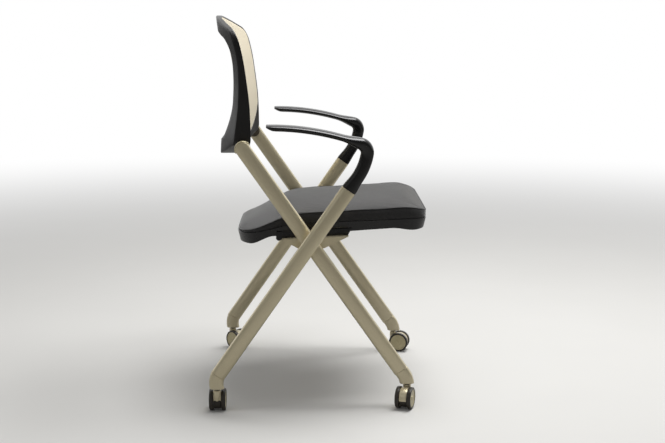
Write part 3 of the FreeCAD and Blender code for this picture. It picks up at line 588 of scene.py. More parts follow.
def back_ring_grid(edge):
    """The ring frame as rows of outlines, from its front rim round its section.

    A row lies between the outer, recess and window outlines by a share, on the front
    or rear face or a depth behind them. Quarter circles of the edge radius join them.
    """
    outer, recess, window = back_outline(), mesh_outline(0.0), window_outline()
    rows = []

    def row(a, b, distance, rear, depth):
        width = np.linalg.norm(b - a, axis=1)[:, None]
        flat = a + (b - a) * np.clip(distance / np.maximum(width, 1e-6), 0, 1)
        y, z = flat[:, 0], flat[:, 1]
        front_x, rear_x = back_x(y, z), back_x(y, z, rear=True)
        x = rear_x + depth if rear else front_x - depth
        rows.append(stacked(x, y, z))

    quarter = np.linspace(0, np.pi / 2, 5)
    row(recess, outer, 0.0, False, MESH_RECESS)
    row(recess, outer, 0.0, False, RECESS_EDGE)
    row(recess, outer, RECESS_EDGE, False, 0.0)
    for a in quarter:
        row(outer, window, edge * (1 - np.sin(a)), False, edge * (1 - np.cos(a)))
    for share in (0.33, 0.67):
        y, z = outer[:, 0], outer[:, 1]
        front_x, rear_x = back_x(y, z), back_x(y, z, rear=True)
        rows.append(stacked(front_x + (rear_x - front_x) * share, y, z))
    for a in quarter[::-1]:
        row(outer, window, edge * (1 - np.sin(a)), True, edge * (1 - np.cos(a)))
    for share in (0.25, 0.5, 0.75):
        flat = outer + (window - outer) * share
        rows.append(stacked(back_x(flat[:, 0], flat[:, 1], True), flat[:, 0], flat[:, 1]))
    for a in quarter:
        row(window, outer, edge * (1 - np.sin(a)), True, edge * (1 - np.cos(a)))
    for a in quarter[::-1]:
        depth = MESH_RECESS + WINDOW_EDGE * (1 - np.cos(a))
        row(window, outer, WINDOW_EDGE * (1 - np.sin(a)), False, depth)
    flat = window + (recess - window) * 0.5
    x = back_x(flat[:, 0], flat[:, 1]) - MESH_RECESS
    rows.append(stacked(x, flat[:, 0], flat[:, 1]))
    rows.append(rows[0])
    return np.stack(rows)


def mesh_panel_grid():
    """The mesh: its outline drawn to the middle, laid on the front face of the back."""
    outline = mesh_outline(MESH_GAP)
    middle = np.array(BACK_MIDDLE)
    share = np.linspace(1, 0, 40)[:, None, None]
    flat = middle + (outline - middle)[None] * share
    y, z = flat[..., 0], flat[..., 1]
    return stacked(back_x(y, z) - MESH_DEPTH, y, z)


# Shapes of the seat


def seat_outline(x, inset):
    """Half width of the rounded seat outline at x: straight sides and circular corners."""
    half = np.full(np.shape(x), SEAT_HALF - inset)
    front, rear = SEAT_FRONT + FRONT_REACH, SEAT_REAR - REAR_REACH
    for d, corner in ((front - inset - x, SEAT_CORNER), (x - rear - inset, SEAT_REAR_CORNER)):
        radius = corner - inset
        gap = radius - np.clip(d, 0, radius)
        half = half - (radius - np.sqrt(np.maximum(radius**2 - gap * gap, 0)))
    return half


def front_roll(x):
    """Quarter-round fall towards the front edge, 0 to 1."""
    t = np.clip((x - FRONT_ROLL_START) / (FRONT_ROLL_END - FRONT_ROLL_START), 0, 1)
    return 1 - np.sqrt(1 - t * t)


def rear_roll(x):
    """Soft fall towards the rear edge, 0 to 1."""
    return smooth((ROLL_START - x) / (ROLL_START - SEAT_REAR))


def seat_line(x, line):
    """Height of a line round the seat: a slope, less the rear and front falls."""
    level, slope, rear_fall, front_fall = line
    return level + slope * x - rear_fall * rear_roll(x) - front_fall * front_roll(x)


def seam_z(x):
    """Height of the piped seam."""
    return seat_line(x, SEAM_LINE)


def parting_z(x):
    """Height of the line where the cushion meets the pan."""
    return seat_line(x, PARTING_LINE)


def pan_z(x):
    """Height of the pan's lower edge: a slope, less a soft fall at each end."""
    level, slope, rear_fall, front_fall = PAN_LINE
    rear, front = PAN_FALL_STARTS
    level = level + slope * x
    level = level - rear_fall * smooth((rear - x) / PAN_FALL_RUN)
    return level - front_fall * smooth((x - front) / PAN_FALL_RUN)


def seat_ring(inset, count=360):
    """Points round the seat's outline: a rounded rectangle drawn in by an inset.

    Straight runs and quarter circles, spaced evenly by length, starting at the rear
    middle and running to the right. The last point repeats the first.
    """
    rear, front = SEAT_REAR - REAR_REACH + inset, SEAT_FRONT + FRONT_REACH - inset
    half = SEAT_HALF - inset
    turn = np.linspace(0, np.pi / 2, 24)
    arc = np.stack([np.cos(turn), np.sin(turn)], 1)
    corners = ((-1, -1, True), (1, -1, False), (1, 1, True), (-1, 1, False))
    points = [np.array([[rear, 0.0]])]
    for sx, sy, rising in corners:
        radius = (SEAT_CORNER if sx > 0 else SEAT_REAR_CORNER) - inset
        x = front - radius if sx > 0 else rear + radius
        bend = arc * [sx * radius, sy * radius] + [x, sy * (half - radius)]
        points.append(bend if rising else bend[::-1])
    points.append(np.array([[rear, 0.0]]))
    line = np.concatenate(points)
    length = np.append(0, np.cumsum(np.linalg.norm(np.diff(line, axis=0), axis=1)))
    at = np.linspace(0, length[-1], count + 1)
    return np.stack([np.interp(at, length, line[:, k]) for k in (0, 1)], 1)


def cushion_top(x, y, swell):
    """Height of the cushion's top: the seam's level plus a crown that fades to the edges."""
    rise = CROWN + REAR_CROWN * smooth((REAR_CROWN_START - x) / REAR_CROWN_RUN) - swell
    wide = np.maximum(seat_outline(x, SEAM_INSET), 1.0)
    across = 1 - np.clip(np.abs(y) / wide, 0, 1) ** 2
    rear = np.clip((x - SEAT_REAR - SEAM_INSET + REAR_REACH) / REAR_ROUND, 0, 1)
    front = np.clip((SEAT_FRONT + FRONT_REACH - SEAM_INSET - x) / FRONT_ROUND, 0, 1)
    ends = np.sqrt(1 - (1 - rear) ** 2) * np.sqrt(1 - (1 - front) ** 2)
    return seam_z(x) + rise * across * ends


def cushion_grid(swell):
    """Closed cushion as rings: top centre, seam, bowed side band, foot, bottom centre.

    The foot draws in and sinks behind the pan's rim.
    """
    seam = seat_ring(SEAM_INSET)
    middle = np.array(SEAT_MIDDLE)
    rows = []
    for share in np.linspace(0, 1, 44):
        flat = middle + (seam - middle) * share
        z = cushion_top(flat[:, 0], flat[:, 1], swell)
        rows.append(stacked(flat[:, 0], flat[:, 1], z))
    for t in np.linspace(0, 1, 9)[1:]:
        x, y = seam[:, 0], seam[:, 1]
        high, low = seam_z(x), parting_z(x) - CUSHION_SINK
        bow = (SIDE_BOW * (high - low) - 0.5 * swell) * 4 * t * (1 - t) - FOOT_DRAW * t**3
        outward = (seam - middle) / np.linalg.norm(seam - middle, axis=1)[:, None]
        level = high + (low - high) * t
        rows.append(stacked(x + outward[:, 0] * bow, y + outward[:, 1] * bow, level))
    for share in np.linspace(1, 0, 30)[1:]:
        flat = middle + (seam - middle) * (share * 0.992)
        rows.append(stacked(flat[:, 0], flat[:, 1], parting_z(flat[:, 0]) - CUSHION_SINK))
    return np.stack(rows)


def piping_path():
    """The seam's own line round the cushion."""
    ring = seat_ring(SEAM_INSET, 420)
    return stacked(ring[:, 0], ring[:, 1], seam_z(ring[:, 0]))


def tube_round(path, radius, sides=12):
    """A round cord carried along a closed line, its sections square to the line."""
    ahead = np.roll(path[:-1], -1, axis=0) - np.roll(path[:-1], 1, axis=0)
    ahead = np.vstack([ahead, ahead[:1]])
    ahead /= np.linalg.norm(ahead, axis=1)[:, None]
    out = np.cross(ahead, [0.0, 0.0, 1.0])
    out /= np.linalg.norm(out, axis=1)[:, None]
    up = np.cross(out, ahead)
    turn = np.linspace(0, 2 * np.pi, sides + 1)[None, :, None]
    return path[:, None] + radius * (out[:, None] * np.cos(turn) + up[:, None] * np.sin(turn))


def pan_grid():
    """The pan's shell: top, drafted outer wall, rounded lip, inner wall and ceiling."""
    middle = np.array(SEAT_MIDDLE)
    rim = seat_ring(PAN_INSET)
    inner = seat_ring(PAN_INSET + PAN_WALL)
    toward = middle - rim
    toward /= np.linalg.norm(toward, axis=1)[:, None]
    rows = []

    def disc(ring, level, shares):
        for share in shares:
            flat = middle + (ring - middle) * share
            rows.append(stacked(flat[:, 0], flat[:, 1], parting_z(flat[:, 0]) - level))

    disc(rim, 0.0, np.linspace(0, 0.995, 24))
    disc(rim, PAN_EDGE, [1.0])
    high, low = parting_z(rim[:, 0]), pan_z(rim[:, 0])
    for t in np.linspace(0, 1, 12)[1:]:
        flat = rim + toward * (PAN_DRAFT * t)
        rows.append(stacked(flat[:, 0], flat[:, 1], high - PAN_EDGE + (low + (PAN_EDGE + PAN_LIP) - high) * t))
    for a in np.linspace(0, np.pi, 7)[1:-1]:
        shift = PAN_DRAFT + PAN_LIP_HALF * (1 - np.cos(a))
        flat = rim + toward * shift
        rows.append(stacked(flat[:, 0], flat[:, 1], low + PAN_LIP - PAN_LIP * np.sin(a)))
    ceiling = parting_z(inner[:, 0]) - PAN_WALL
    for t in np.linspace(1, 0, 10):
        flat = inner + toward * (PAN_DRAFT * t)
        rows.append(stacked(flat[:, 0], flat[:, 1], ceiling + (low + PAN_LIP - ceiling) * t))
    disc(inner, PAN_WALL, np.linspace(0.98, 0, 20))
    return np.stack(rows)


def rib_grid(start, end, steps=40):
    """A stiffening rib under the pan: a wall between two plan points, thinner at its foot."""
    t = np.linspace(0, 1, steps)[:, None]
    line = np.array(start) + (np.array(end) - np.array(start)) * t
    side = np.array([end[1] - start[1], start[0] - end[0]], float)
    side /= np.linalg.norm(side)
    high = parting_z(line[:, 0]) - PAN_WALL + 0.5
    low = pan_z(line[:, 0]) + 1.5
    loop = []
    offsets = (-RIB_FOOT, -RIB_ROOT, RIB_ROOT, RIB_FOOT, -RIB_FOOT)
    for offset, level in zip(offsets, (low, high, high, low, low)):
        flat = line + side * offset
        loop.append(stacked(flat[:, 0], flat[:, 1], level))
    walls = np.stack(loop, axis=1)
    heart = walls[:, :4].mean(axis=1, keepdims=True)
    ends = [np.repeat(heart[i][None], 5, axis=1) for i in (0, -1)]
    return np.concatenate([ends[0], walls, ends[1]])


# Shapes of the casters


def placed(grid, caster):
    """Turn a caster's own grid about its stem and move it to its place."""
    _, x, y, turn = caster
    turn = math.radians(turn)
    out = grid.copy()
    out[..., 0] = x + grid[..., 0] * math.cos(turn) - grid[..., 1] * math.sin(turn)
    out[..., 1] = y + grid[..., 0] * math.sin(turn) + grid[..., 1] * math.cos(turn)
    return out


def turned(profile, side, steps=96):
    """A profile of radius and distance along the axle, turned about the axle."""
    profile = np.array(profile, float)
    turn = np.linspace(0, 2 * np.pi, steps + 1)[None, :]
    r, y = profile[:, :1], profile[:, 1:]
    x = CASTER_TRAIL + r * np.cos(turn)
    z = WHEEL_RADIUS + r * np.sin(turn)
    return stacked(x, side * y + 0 * turn, z)


def corner_round(centre, radius, start, end, steps=5):
    """Points of an arc about a centre, by angle in degrees."""
    turn = np.radians(np.linspace(start, end, steps))
    return [(centre[0] + radius * math.cos(a), centre[1] + radius * math.sin(a)) for a in turn]


def tyre_profile():
    """Closed section of the tread: flat running face with rounded shoulders."""
    section = [(TYRE_BORE, WHEEL_OUTER - 0.5), (21.0, WHEEL_OUTER)]
    section += corner_round((WHEEL_RADIUS - 2.0, WHEEL_OUTER - 2.0), 2.0, 90, 0)
    section += corner_round((WHEEL_RADIUS - 1.5, WHEEL_INNER + 1.5), 1.5, 0, -90)
    section += [(TYRE_BORE, WHEEL_INNER), (TYRE_BORE, WHEEL_OUTER - 0.5)]
    return section


def disc_profile():
    """Section of the wheel's disc: a shallow dish with a raised rim and a small hub."""
    section = [(0, 17.9), (4.2, 17.9)]
    section += corner_round((4.8, 17.3), 0.6, 90, 0, 3)
    section += [(5.6, 16.9), (16.8, 16.9), (17.8, 17.6)]
    section += corner_round((20.0, 17.4), 0.55, 90, 0, 3)
    inside = WHEEL_INNER + 0.05
    section += [(20.55, WHEEL_INNER + 0.4), (20.2, inside), (AXLE_BORE, inside)]
    section += [(AXLE_BORE, 16.2), (0, 16.2)]
    return section


def shield_grid():
    """Boss under the stem: rounded level sections that narrow downwards like a shield."""
    foot, foot_round = SHIELD_FOOT
    top, top_round = SHIELD_TOP
    z = np.concatenate([
        [foot],
        foot + foot_round * (1 - np.cos(np.linspace(0, np.pi / 2, 4))),
        np.linspace(29.0, top - top_round, 16),
        top - top_round * (1 - np.sin(np.linspace(0, np.pi / 2, 6))),
        [top],
    ])
    half = 3.8 + 5.1 * smooth((z - 25.0) / 24.0)
    over = np.maximum(z - (top - top_round), 0) / top_round
    under = np.maximum(foot + foot_round - z, 0) / foot_round
    ease_top = np.sqrt(np.clip(1 - over**2, 0, 1)) * 1.6 - 1.6
    ease_low = np.sqrt(np.clip(1 - under**2, 0, 1)) * 1.4 - 1.4
    half = half + ease_top + ease_low
    depth = 7.6 + ease_top + ease_low
    half[[0, -1]] = 0.0
    depth[[0, -1]] = 0.0
    turn = np.linspace(0, 2 * np.pi, 49)[None, :]
    p = rounded(np.cos(turn), SHIELD_POWER)
    q = rounded(np.sin(turn), SHIELD_POWER)
    return stacked(-1.9 + depth[:, None] * p, half[:, None] * q, z[:, None] + 0 * turn)


def fender_grid():
    """Block between the wheels: its outline in the wheel's plane, carried across them."""
    arc = np.radians(np.linspace(-8, 125, 40))
    rim_x = CASTER_TRAIL + FENDER_RADIUS * np.cos(arc)
    rim = np.stack([rim_x, WHEEL_RADIUS + FENDER_RADIUS * np.sin(arc)], 1)
    under = np.array([(-5.0, 40.0), (-5.0, 27.0), (10.0, 19.0), (22.0, 19.0)])
    line = np.concatenate([rim, under, rim[:1]])
    middle = np.array([14.0, 33.0])
    rows = [np.repeat(middle[None], len(line), axis=0)]
    across = [-FENDER_HALF]
    for a in np.linspace(0, np.pi / 2, 4):
        inward = middle - line
        inward /= np.linalg.norm(inward, axis=1)[:, None]
        rows.append(line + inward * FENDER_EDGE * (1 - math.sin(a)))
        across.append(-FENDER_HALF + FENDER_EDGE * (1 - math.cos(a)))
    rows += rows[::-1]
    across += [-y for y in across[::-1]]
    flat = np.stack(rows)
    return stacked(flat[..., 0], np.array(across)[:, None], flat[..., 1])


def core_profile():
    """Section of the axle housing between the wheels, a disc with eased edges, dark as painted shade between
    the wheels.
    """
    section = [(0, -CORE_HALF), (CORE_RADIUS, -CORE_HALF)]
    section += corner_round((CORE_RADIUS, -CORE_HALF + CORE_EDGE), CORE_EDGE, -90, 0, 4)
    section += corner_round((CORE_RADIUS, CORE_HALF - CORE_EDGE), CORE_EDGE, 0, 90, 4)
    return section + [(0, CORE_HALF)]


def stem_grid():
    """Steel stem with a thin collar, turned about its own axis."""
    profile = np.array([
        (0, 49), (5, 49), (5, 51.4), (6.4, 51.5), (6.6, 52.6), (5.0, 52.8), (4.9, 62), (0, 62),
    ])
    turn = np.linspace(0, 2 * np.pi, 49)[None, :]
    r, z = profile[:, :1], profile[:, 1:]
    return stacked(r * np.cos(turn), r * np.sin(turn), z + 0 * turn)


# Finishes


def srgb(code):
    """A hex colour as linear red, green, blue and alpha."""
    values = np.array([int(code[i : i + 2], 16) for i in (1, 3, 5)]) / 255
    linear = np.where(values <= 0.04045, values / 12.92, ((values + 0.055) / 1.055) ** 2.4)
    return (*[float(v) for v in linear], 1.0)


def shade(colour, factor):
    """The same colour, lighter or darker by a factor."""
    return (*[min(c * factor, 1.0) for c in colour[:3]], 1.0)


# Sockets of a colour Mix node, whose names repeat
MIX_A, MIX_B, MIX_OUT = 6, 7, 2


def add_node(tree, kind, inputs=None, **settings):
    """Add a node with its settings; an input is a value or the socket linked to it."""
    node = tree.nodes.new(kind)
    for name, value in settings.items():
        setattr(node, name, value)
    for name, value in (inputs or {}).items():
        if isinstance(value, bpy.types.NodeSocket):
            tree.links.new(value, node.inputs[name])
        else:
            node.inputs[name].default_value = value
    return node


def start_material(name):
    """A new material: its node tree and the object's own coordinates."""
    material = bpy.data.materials.new(name)
    material.use_nodes = True
    tree = material.node_tree
    tree.nodes.clear()
    return material, tree, add_node(tree, "ShaderNodeTexCoord").outputs["Object"]


def end_material(material, tree, inputs):
    """Close a material with its shader and output."""
    shader = add_node(tree, "ShaderNodeBsdfPrincipled", inputs)
    add_node(tree, "ShaderNodeOutputMaterial", {"Surface": shader.outputs["BSDF"]})
    return material


def painted_metal(name, colour, peel):
    """Satin metallic powder coat, sprayed and baked: a soft broad highlight over fine
    flake, with faint orange peel. The flake is drawn at 0.9 mm, coarser than the real
    0.05 mm, so that it shows."""
    material, tree, place = start_material(name)
    flake = add_node(tree, "ShaderNodeTexNoise", {
        "Vector": place, "Scale": 1 / 0.0009, "Detail": 1.0})
    cloud = add_node(tree, "ShaderNodeTexNoise", {
        "Vector": place, "Scale": 1 / 0.06, "Detail": 3.0})
    tone = add_node(tree, "ShaderNodeMapRange", {
        "Value": flake.outputs["Fac"],
        "From Min": 0.3, "From Max": 0.7, "To Min": 0.0, "To Max": 1.0})
    mixed = add_node(tree, "ShaderNodeMix", {
        "Factor": tone.outputs["Result"],
        MIX_A: shade(colour, 0.94), MIX_B: shade(colour, 1.06)}, data_type="RGBA")
    rough = add_node(tree, "ShaderNodeMapRange", {
        "Value": cloud.outputs["Fac"],
        "From Min": 0.3, "From Max": 0.7, "To Min": 0.28, "To Max": 0.36})
    skin = add_node(tree, "ShaderNodeTexNoise", {
        "Vector": place, "Scale": 1 / 0.0025, "Detail": 2.0})
    bump = add_node(tree, "ShaderNodeBump", {
        "Strength": peel, "Distance": 0.0003, "Height": skin.outputs["Fac"]})
    return end_material(material, tree, {
        "Base Color": mixed.outputs[MIX_OUT], "Metallic": 0.6,
        "Roughness": rough.outputs["Result"], "Normal": bump.outputs["Normal"],
        "Coat Weight": 0.5, "Coat Roughness": 0.16})


def moulded_plastic(name, colour, grain, strength, rough):
    """Black polypropylene moulded in a spark-eroded tool: a fine even grain breaks the
    highlight, and handling leaves it slightly smoother in places."""
    material, tree, place = start_material(name)
    pits = add_node(tree, "ShaderNodeTexVoronoi", {"Vector": place, "Scale": 1 / grain})
    fine = add_node(tree, "ShaderNodeTexNoise", {
        "Vector": place, "Scale": 2.3 / grain, "Detail": 2.0})
    worn = add_node(tree, "ShaderNodeTexNoise", {
        "Vector": place, "Scale": 1 / 0.045, "Detail": 4.0})
    height = add_node(tree, "ShaderNodeMath", {
        0: pits.outputs["Distance"], 1: fine.outputs["Fac"]}, operation="MULTIPLY")
    bump = add_node(tree, "ShaderNodeBump", {
        "Strength": strength, "Distance": 0.0003, "Height": height.outputs[0]})
    polish = add_node(tree, "ShaderNodeMapRange", {
        "Value": worn.outputs["Fac"],
        "From Min": 0.3, "From Max": 0.7, "To Min": rough - 0.05, "To Max": rough + 0.05})
    mixed = add_node(tree, "ShaderNodeMix", {
        "Factor": worn.outputs["Fac"],
        MIX_A: shade(colour, 0.85), MIX_B: shade(colour, 1.2)}, data_type="RGBA")
    return end_material(material, tree, {
        "Base Color": mixed.outputs[MIX_OUT], "Roughness": polish.outputs["Result"],
        "IOR": 1.49, "Specular IOR Level": 0.5, "Normal": bump.outputs["Normal"]})


def woven_cloth(name, colour, depth):
    """Plain-weave polyester upholstery: its crossings stand up as small uneven knots,
    drawn 2.2 mm apart, coarser than the real 0.8 mm so that they show; loose fibre ends
    give a pale sheen. The depth scales its colour; at 0.5, on the piping, the darker
    colour is painted shade along the seam."""
    colour = shade(colour, depth)
    material, tree, place = start_material(name)
    knots = add_node(tree, "ShaderNodeTexVoronoi", {
        "Vector": place, "Scale": 1 / 0.0022, "Randomness": 0.75})
    weave = add_node(tree, "ShaderNodeMapRange", {
        "Value": knots.outputs["Distance"],
        "From Min": 0.1, "From Max": 0.7, "To Min": 1.0, "To Max": 0.0})
    fuzz = add_node(tree, "ShaderNodeTexNoise", {
        "Vector": place, "Scale": 1 / 0.0016, "Detail": 3.0})
    melange = add_node(tree, "ShaderNodeMapRange", {
        "Value": fuzz.outputs["Fac"],
        "From Min": 0.35, "From Max": 0.65, "To Min": 0.55, "To Max": 1.0})
    blend = add_node(tree, "ShaderNodeMath", {
        0: weave.outputs["Result"], 1: melange.outputs["Result"]}, operation="MULTIPLY")
    mixed = add_node(tree, "ShaderNodeMix", {
        "Factor": blend.outputs[0],
        MIX_A: shade(colour, 0.7), MIX_B: shade(colour, 1.6)}, data_type="RGBA")
    bump = add_node(tree, "ShaderNodeBump", {
        "Strength": 0.5, "Distance": 0.0005, "Height": weave.outputs["Result"]})
    return end_material(material, tree, {
        "Base Color": mixed.outputs[MIX_OUT], "Roughness": 0.8, "IOR": 1.45,
        "Sheen Weight": 0.9, "Sheen Roughness": 0.3, "Sheen Tint": (0.9, 0.9, 0.9, 1.0),
        "Normal": bump.outputs["Normal"]})


def knitted_mesh(name, colour):
    """Warp-knitted polyester mesh stretched on a frame: round holes every 3.2 mm between
    glossy filaments, which let some of what is behind show through."""
    material, tree, place = start_material(name)
    turned_place = add_node(tree, "ShaderNodeMapping", {
        "Vector": place, "Rotation": (math.radians(45), 0.0, 0.0), "Scale": (0.01, 1.0, 1.0)})
    holes = add_node(tree, "ShaderNodeTexVoronoi", {
        "Vector": turned_place.outputs["Vector"], "Scale": 1 / 0.0032, "Randomness": 0.08})
    yarn = add_node(tree, "ShaderNodeMapRange", {
        "Value": holes.outputs["Distance"],
        "From Min": 0.22, "From Max": 0.36, "To Min": 0.0, "To Max": 1.0})
    filament = add_node(tree, "ShaderNodeTexNoise", {
        "Vector": place, "Scale": 1 / 0.0012, "Detail": 2.0})
    mixed = add_node(tree, "ShaderNodeMix", {
        "Factor": filament.outputs["Fac"],
        MIX_A: shade(colour, 0.88), MIX_B: shade(colour, 1.05)}, data_type="RGBA")
    cover = add_node(tree, "ShaderNodeMapRange", {
        "Value": yarn.outputs["Result"],
        "From Min": 0.0, "From Max": 1.0, "To Min": 0.35, "To Max": 1.0})
    bump = add_node(tree, "ShaderNodeBump", {
        "Strength": 0.35, "Distance": 0.0006, "Height": yarn.outputs["Result"]})
    return end_material(material, tree, {
        "Base Color": mixed.outputs[MIX_OUT], "Roughness": 0.6, "IOR": 1.5,
        "Sheen Weight": 0.25, "Sheen Roughness": 0.4,
        "Alpha": cover.outputs["Result"], "Normal": bump.outputs["Normal"]})


def moulded_rubber(name, colour, rough):
    """Moulded rubber or polyurethane tread, with fine scuffs that catch dust."""
    material, tree, place = start_material(name)
    scuff = add_node(tree, "ShaderNodeTexNoise", {
        "Vector": place, "Scale": 1 / 0.004, "Detail": 5.0})
    dust = add_node(tree, "ShaderNodeMapRange", {
        "Value": scuff.outputs["Fac"],
        "From Min": 0.45, "From Max": 0.75, "To Min": 0.0, "To Max": 0.5})
    mixed = add_node(tree, "ShaderNodeMix", {
        "Factor": dust.outputs["Result"],
        MIX_A: colour, MIX_B: shade(colour, 2.4)}, data_type="RGBA")
    bump = add_node(tree, "ShaderNodeBump", {
        "Strength": 0.15, "Distance": 0.0004, "Height": scuff.outputs["Fac"]})
    return end_material(material, tree, {
        "Base Color": mixed.outputs[MIX_OUT], "Roughness": rough, "IOR": 1.5,
        "Normal": bump.outputs["Normal"]})


def turned_steel(name, colour):
    """Steel turned on a lathe and zinc plated: fine mottling and a soft grey gleam."""
    material, tree, place = start_material(name)
    mottle = add_node(tree, "ShaderNodeTexNoise", {
        "Vector": place, "Scale": 1 / 0.0007, "Detail": 2.0})
    rough = add_node(tree, "ShaderNodeMapRange", {
        "Value": mottle.outputs["Fac"],
        "From Min": 0.3, "From Max": 0.7, "To Min": 0.25, "To Max": 0.4})
    mixed = add_node(tree, "ShaderNodeMix", {
        "Factor": mottle.outputs["Fac"],
        MIX_A: shade(colour, 0.9), MIX_B: shade(colour, 1.1)}, data_type="RGBA")
    return end_material(material, tree, {
        "Base Color": mixed.outputs[MIX_OUT], "Metallic": 1.0,
        "Roughness": rough.outputs["Result"]})


# What makes each finish, the user's colour for it, and its other values
FINISHES = {
    "champagne_powder_coat": (painted_metal, "paint", 0.05),
    "champagne_casting_paint": (painted_metal, "paint", 0.12),
    "champagne_cap_plastic": (painted_metal, "cap", 0.08),
    "bronze_casting_paint": (painted_metal, "casting", 0.1),
    "back_frame_polypropylene": (moulded_plastic, "back_plastic", 0.0011, 0.1, 0.36),
    "arm_polypropylene": (moulded_plastic, "arm_plastic", 0.0013, 0.06, 0.2),
    "pan_polypropylene": (moulded_plastic, "pan_plastic", 0.0015, 0.08, 0.28),
    "woven_seat_polyester": (woven_cloth, "seat_cloth", 1.0),
    # Half as bright as the seat cloth: painted shade along the seam
    "piping_polyester": (woven_cloth, "seat_cloth", 0.5),
    "knitted_back_polyester": (knitted_mesh, "back_mesh"),
    "tread_polyurethane": (moulded_rubber, "tread", 0.3),
    "stop_rubber": (moulded_rubber, "tread", 0.6),
    "plated_steel": (turned_steel, "steel"),
}


def finish(name):
    """The material of that name, made when it is first asked for."""
    made = bpy.data.materials.get(name)
    if made:
        return made
    make, tone, *values = FINISHES[name]
    return make(name, getattr(bpy.context.scene.chair_colours, tone), *values)


# Settings


def length(name, description, default):
    """A length in metres that a user may change."""
    return FloatProperty(
        name=name,
        description=description,
        default=default,
        min=0.0,
        subtype="DISTANCE",
        unit="LENGTH",
    )


def colour(name, description, code):
    """A colour that a user may change."""
    return FloatVectorProperty(
        name=name,
        description=description,
        default=srgb(code),
        size=4,
        min=0.0,
        max=1.0,
        subtype="COLOR",
    )


class ChairSizes(bpy.types.PropertyGroup):
    """Sizes that finish the pieces."""

    tube_major: length("Tube depth", "Longer side of the oval leg tube", TUBE_MAJOR * MM)
    tube_minor: length("Tube width", "Shorter side of the oval leg tube", TUBE_MINOR * MM)
    seam_gap: length("Seam", "Radius of the eased edges where two pieces meet", 0.0011)
    cap_rim: length("Cap rim", "Thickness of the end cap's rim", 0.0022)
    back_edge: length("Back edge", "Radius of the back frame's edges", 0.0025)
    mesh_thickness: length("Mesh", "Thickness of the knitted mesh", 0.0012)
    piping: length("Piping", "Radius of the piping along the cushion's seam", 0.0016)
    swell: length("Swell", "How far the cushion's top rises as it is filled", 0.003)


class ChairColours(bpy.types.PropertyGroup):
    """Colours of the finishes."""

    paint: colour("Frame paint", "Champagne powder coat of the legs", "#D0C5A6")
    cap: colour("Caps and discs", "Champagne plastic of the end caps and wheel discs", "#C2B792")
    casting: colour("Brackets", "Dark bronze paint of the brackets and lugs", "#5C5547")
    back_plastic: colour("Back frame", "Black plastic of the back frame", "#110F0E")
    arm_plastic: colour("Arms", "Black plastic of the arms", "#0F0E0E")
    pan_plastic: colour("Seat pan", "Black plastic of the seat pan and bearer", "#100F10")
    back_mesh: colour("Back mesh", "Cream mesh of the back", "#DCD1B8")
    seat_cloth: colour("Seat cloth", "Dark grey cloth of the seat", "#242323")
    tread: colour("Treads", "Black treads of the wheels", "#2A261F")
    steel: colour("Steel", "Screws, pins, axles and stems", "#A9A8A5")
    floor: colour("Floor", "Plain pale floor", "#D9D8D5")


# Operators


class PieceOperator:
    """What every operator of this file shares."""

    bl_options = {"REGISTER", "UNDO"}


class CHAIR_OT_leg_tubes(PieceOperator, bpy.types.Operator):
    """Build the four oval leg tubes"""

    bl_idname = "chair.leg_tubes"
    bl_label = "Leg tubes"

    def execute(self, context):
        sizes = context.scene.chair_sizes
        low, high = leg_point(LEG_SEAM_Z, 1), leg_point(ARM_SEAM_Z, 1)
        points = low + (high - low) * np.linspace(0, 1, 4)[:, None]
        alongs = np.repeat(leg_up(1)[None, :], 4, axis=0)
        major, minor = sizes.tube_major / 2 / MM, sizes.tube_minor / 2 / MM
        ease = sizes.seam_gap / MM
        for side, sign in SIDES:
            y = sign * REAR_LEG_PLANE
            rear = carried(points, alongs, major, minor, y, TUBE_POWER, ease, ease)
            front = front_leg_grid(sign * FRONT_LEG_PLANE)
            for leg, grid in (("rear", rear), ("front", front)):
                piece = build_piece(f"{leg}_leg_{side}", [grid])
                node = f"{leg}_leg_tube_{side}"
                settle(piece, "champagne_powder_coat", "champagne_tube", "frame", node)
        return {"FINISHED"}


class CHAIR_OT_leg_ends(PieceOperator, bpy.types.Operator):
    """Build the four cast elbows above the casters"""

    bl_idname = "chair.leg_ends"
    bl_label = "Leg ends"

    def execute(self, context):
        sizes = context.scene.chair_sizes
        ease = sizes.seam_gap / MM
        legs = (
            ("front", -1, FRONT_STEM_X, FRONT_LEG_PLANE),
            ("rear", 1, REAR_STEM_X, REAR_LEG_PLANE),
        )
        for kind, lean, stem_x, plane in legs:
            points, alongs, t = elbow_path(lean, stem_x)
            major = sizes.tube_major / 2 / MM * (1 - t) + LEG_END_MAJOR / 2 * t
            minor = sizes.tube_minor / 2 / MM * (1 - t) + LEG_END_MINOR / 2 * t
            for side, sign in SIDES:
                y = sign * plane
                grid = carried(points, alongs, major, minor, y, TUBE_POWER, ease, LEG_END_ROUND)
                piece = build_piece(f"{kind}_leg_elbow_{side}", [grid])
                node = f"{kind}_leg_end_{side}"
                settle(piece, "champagne_casting_paint", "champagne_casting", "frame", node)
        return {"FINISHED"}


class CHAIR_OT_leg_caps(PieceOperator, bpy.types.Operator):
    """Build the rims of the two end caps"""

    bl_idname = "chair.leg_caps"
    bl_label = "Leg caps"

    def execute(self, context):
        rim = context.scene.chair_sizes.cap_rim / MM
        grids = [cap_rim_grid(sign * FRONT_LEG_PLANE, rim) for _, sign in SIDES]
        piece = build_piece("leg_cap_rims", grids)
        settle(piece, "champagne_cap_plastic", "champagne_cap", "frame", "leg_caps")
        return {"FINISHED"}


class CHAIR_OT_brackets(PieceOperator, bpy.types.Operator):
    """Build the brackets that join the legs to the back"""

    bl_idname = "chair.brackets"
    bl_label = "Brackets"

    def execute(self, context):
        for side, sign in SIDES:
            piece = build_piece(f"bracket_{side}", [bracket_grid(FRONT_LEG_PLANE, sign)])
            node = f"back_bracket_{side}"
            settle(piece, "bronze_casting_paint", "dark_casting", "frame", node)
        return {"FINISHED"}


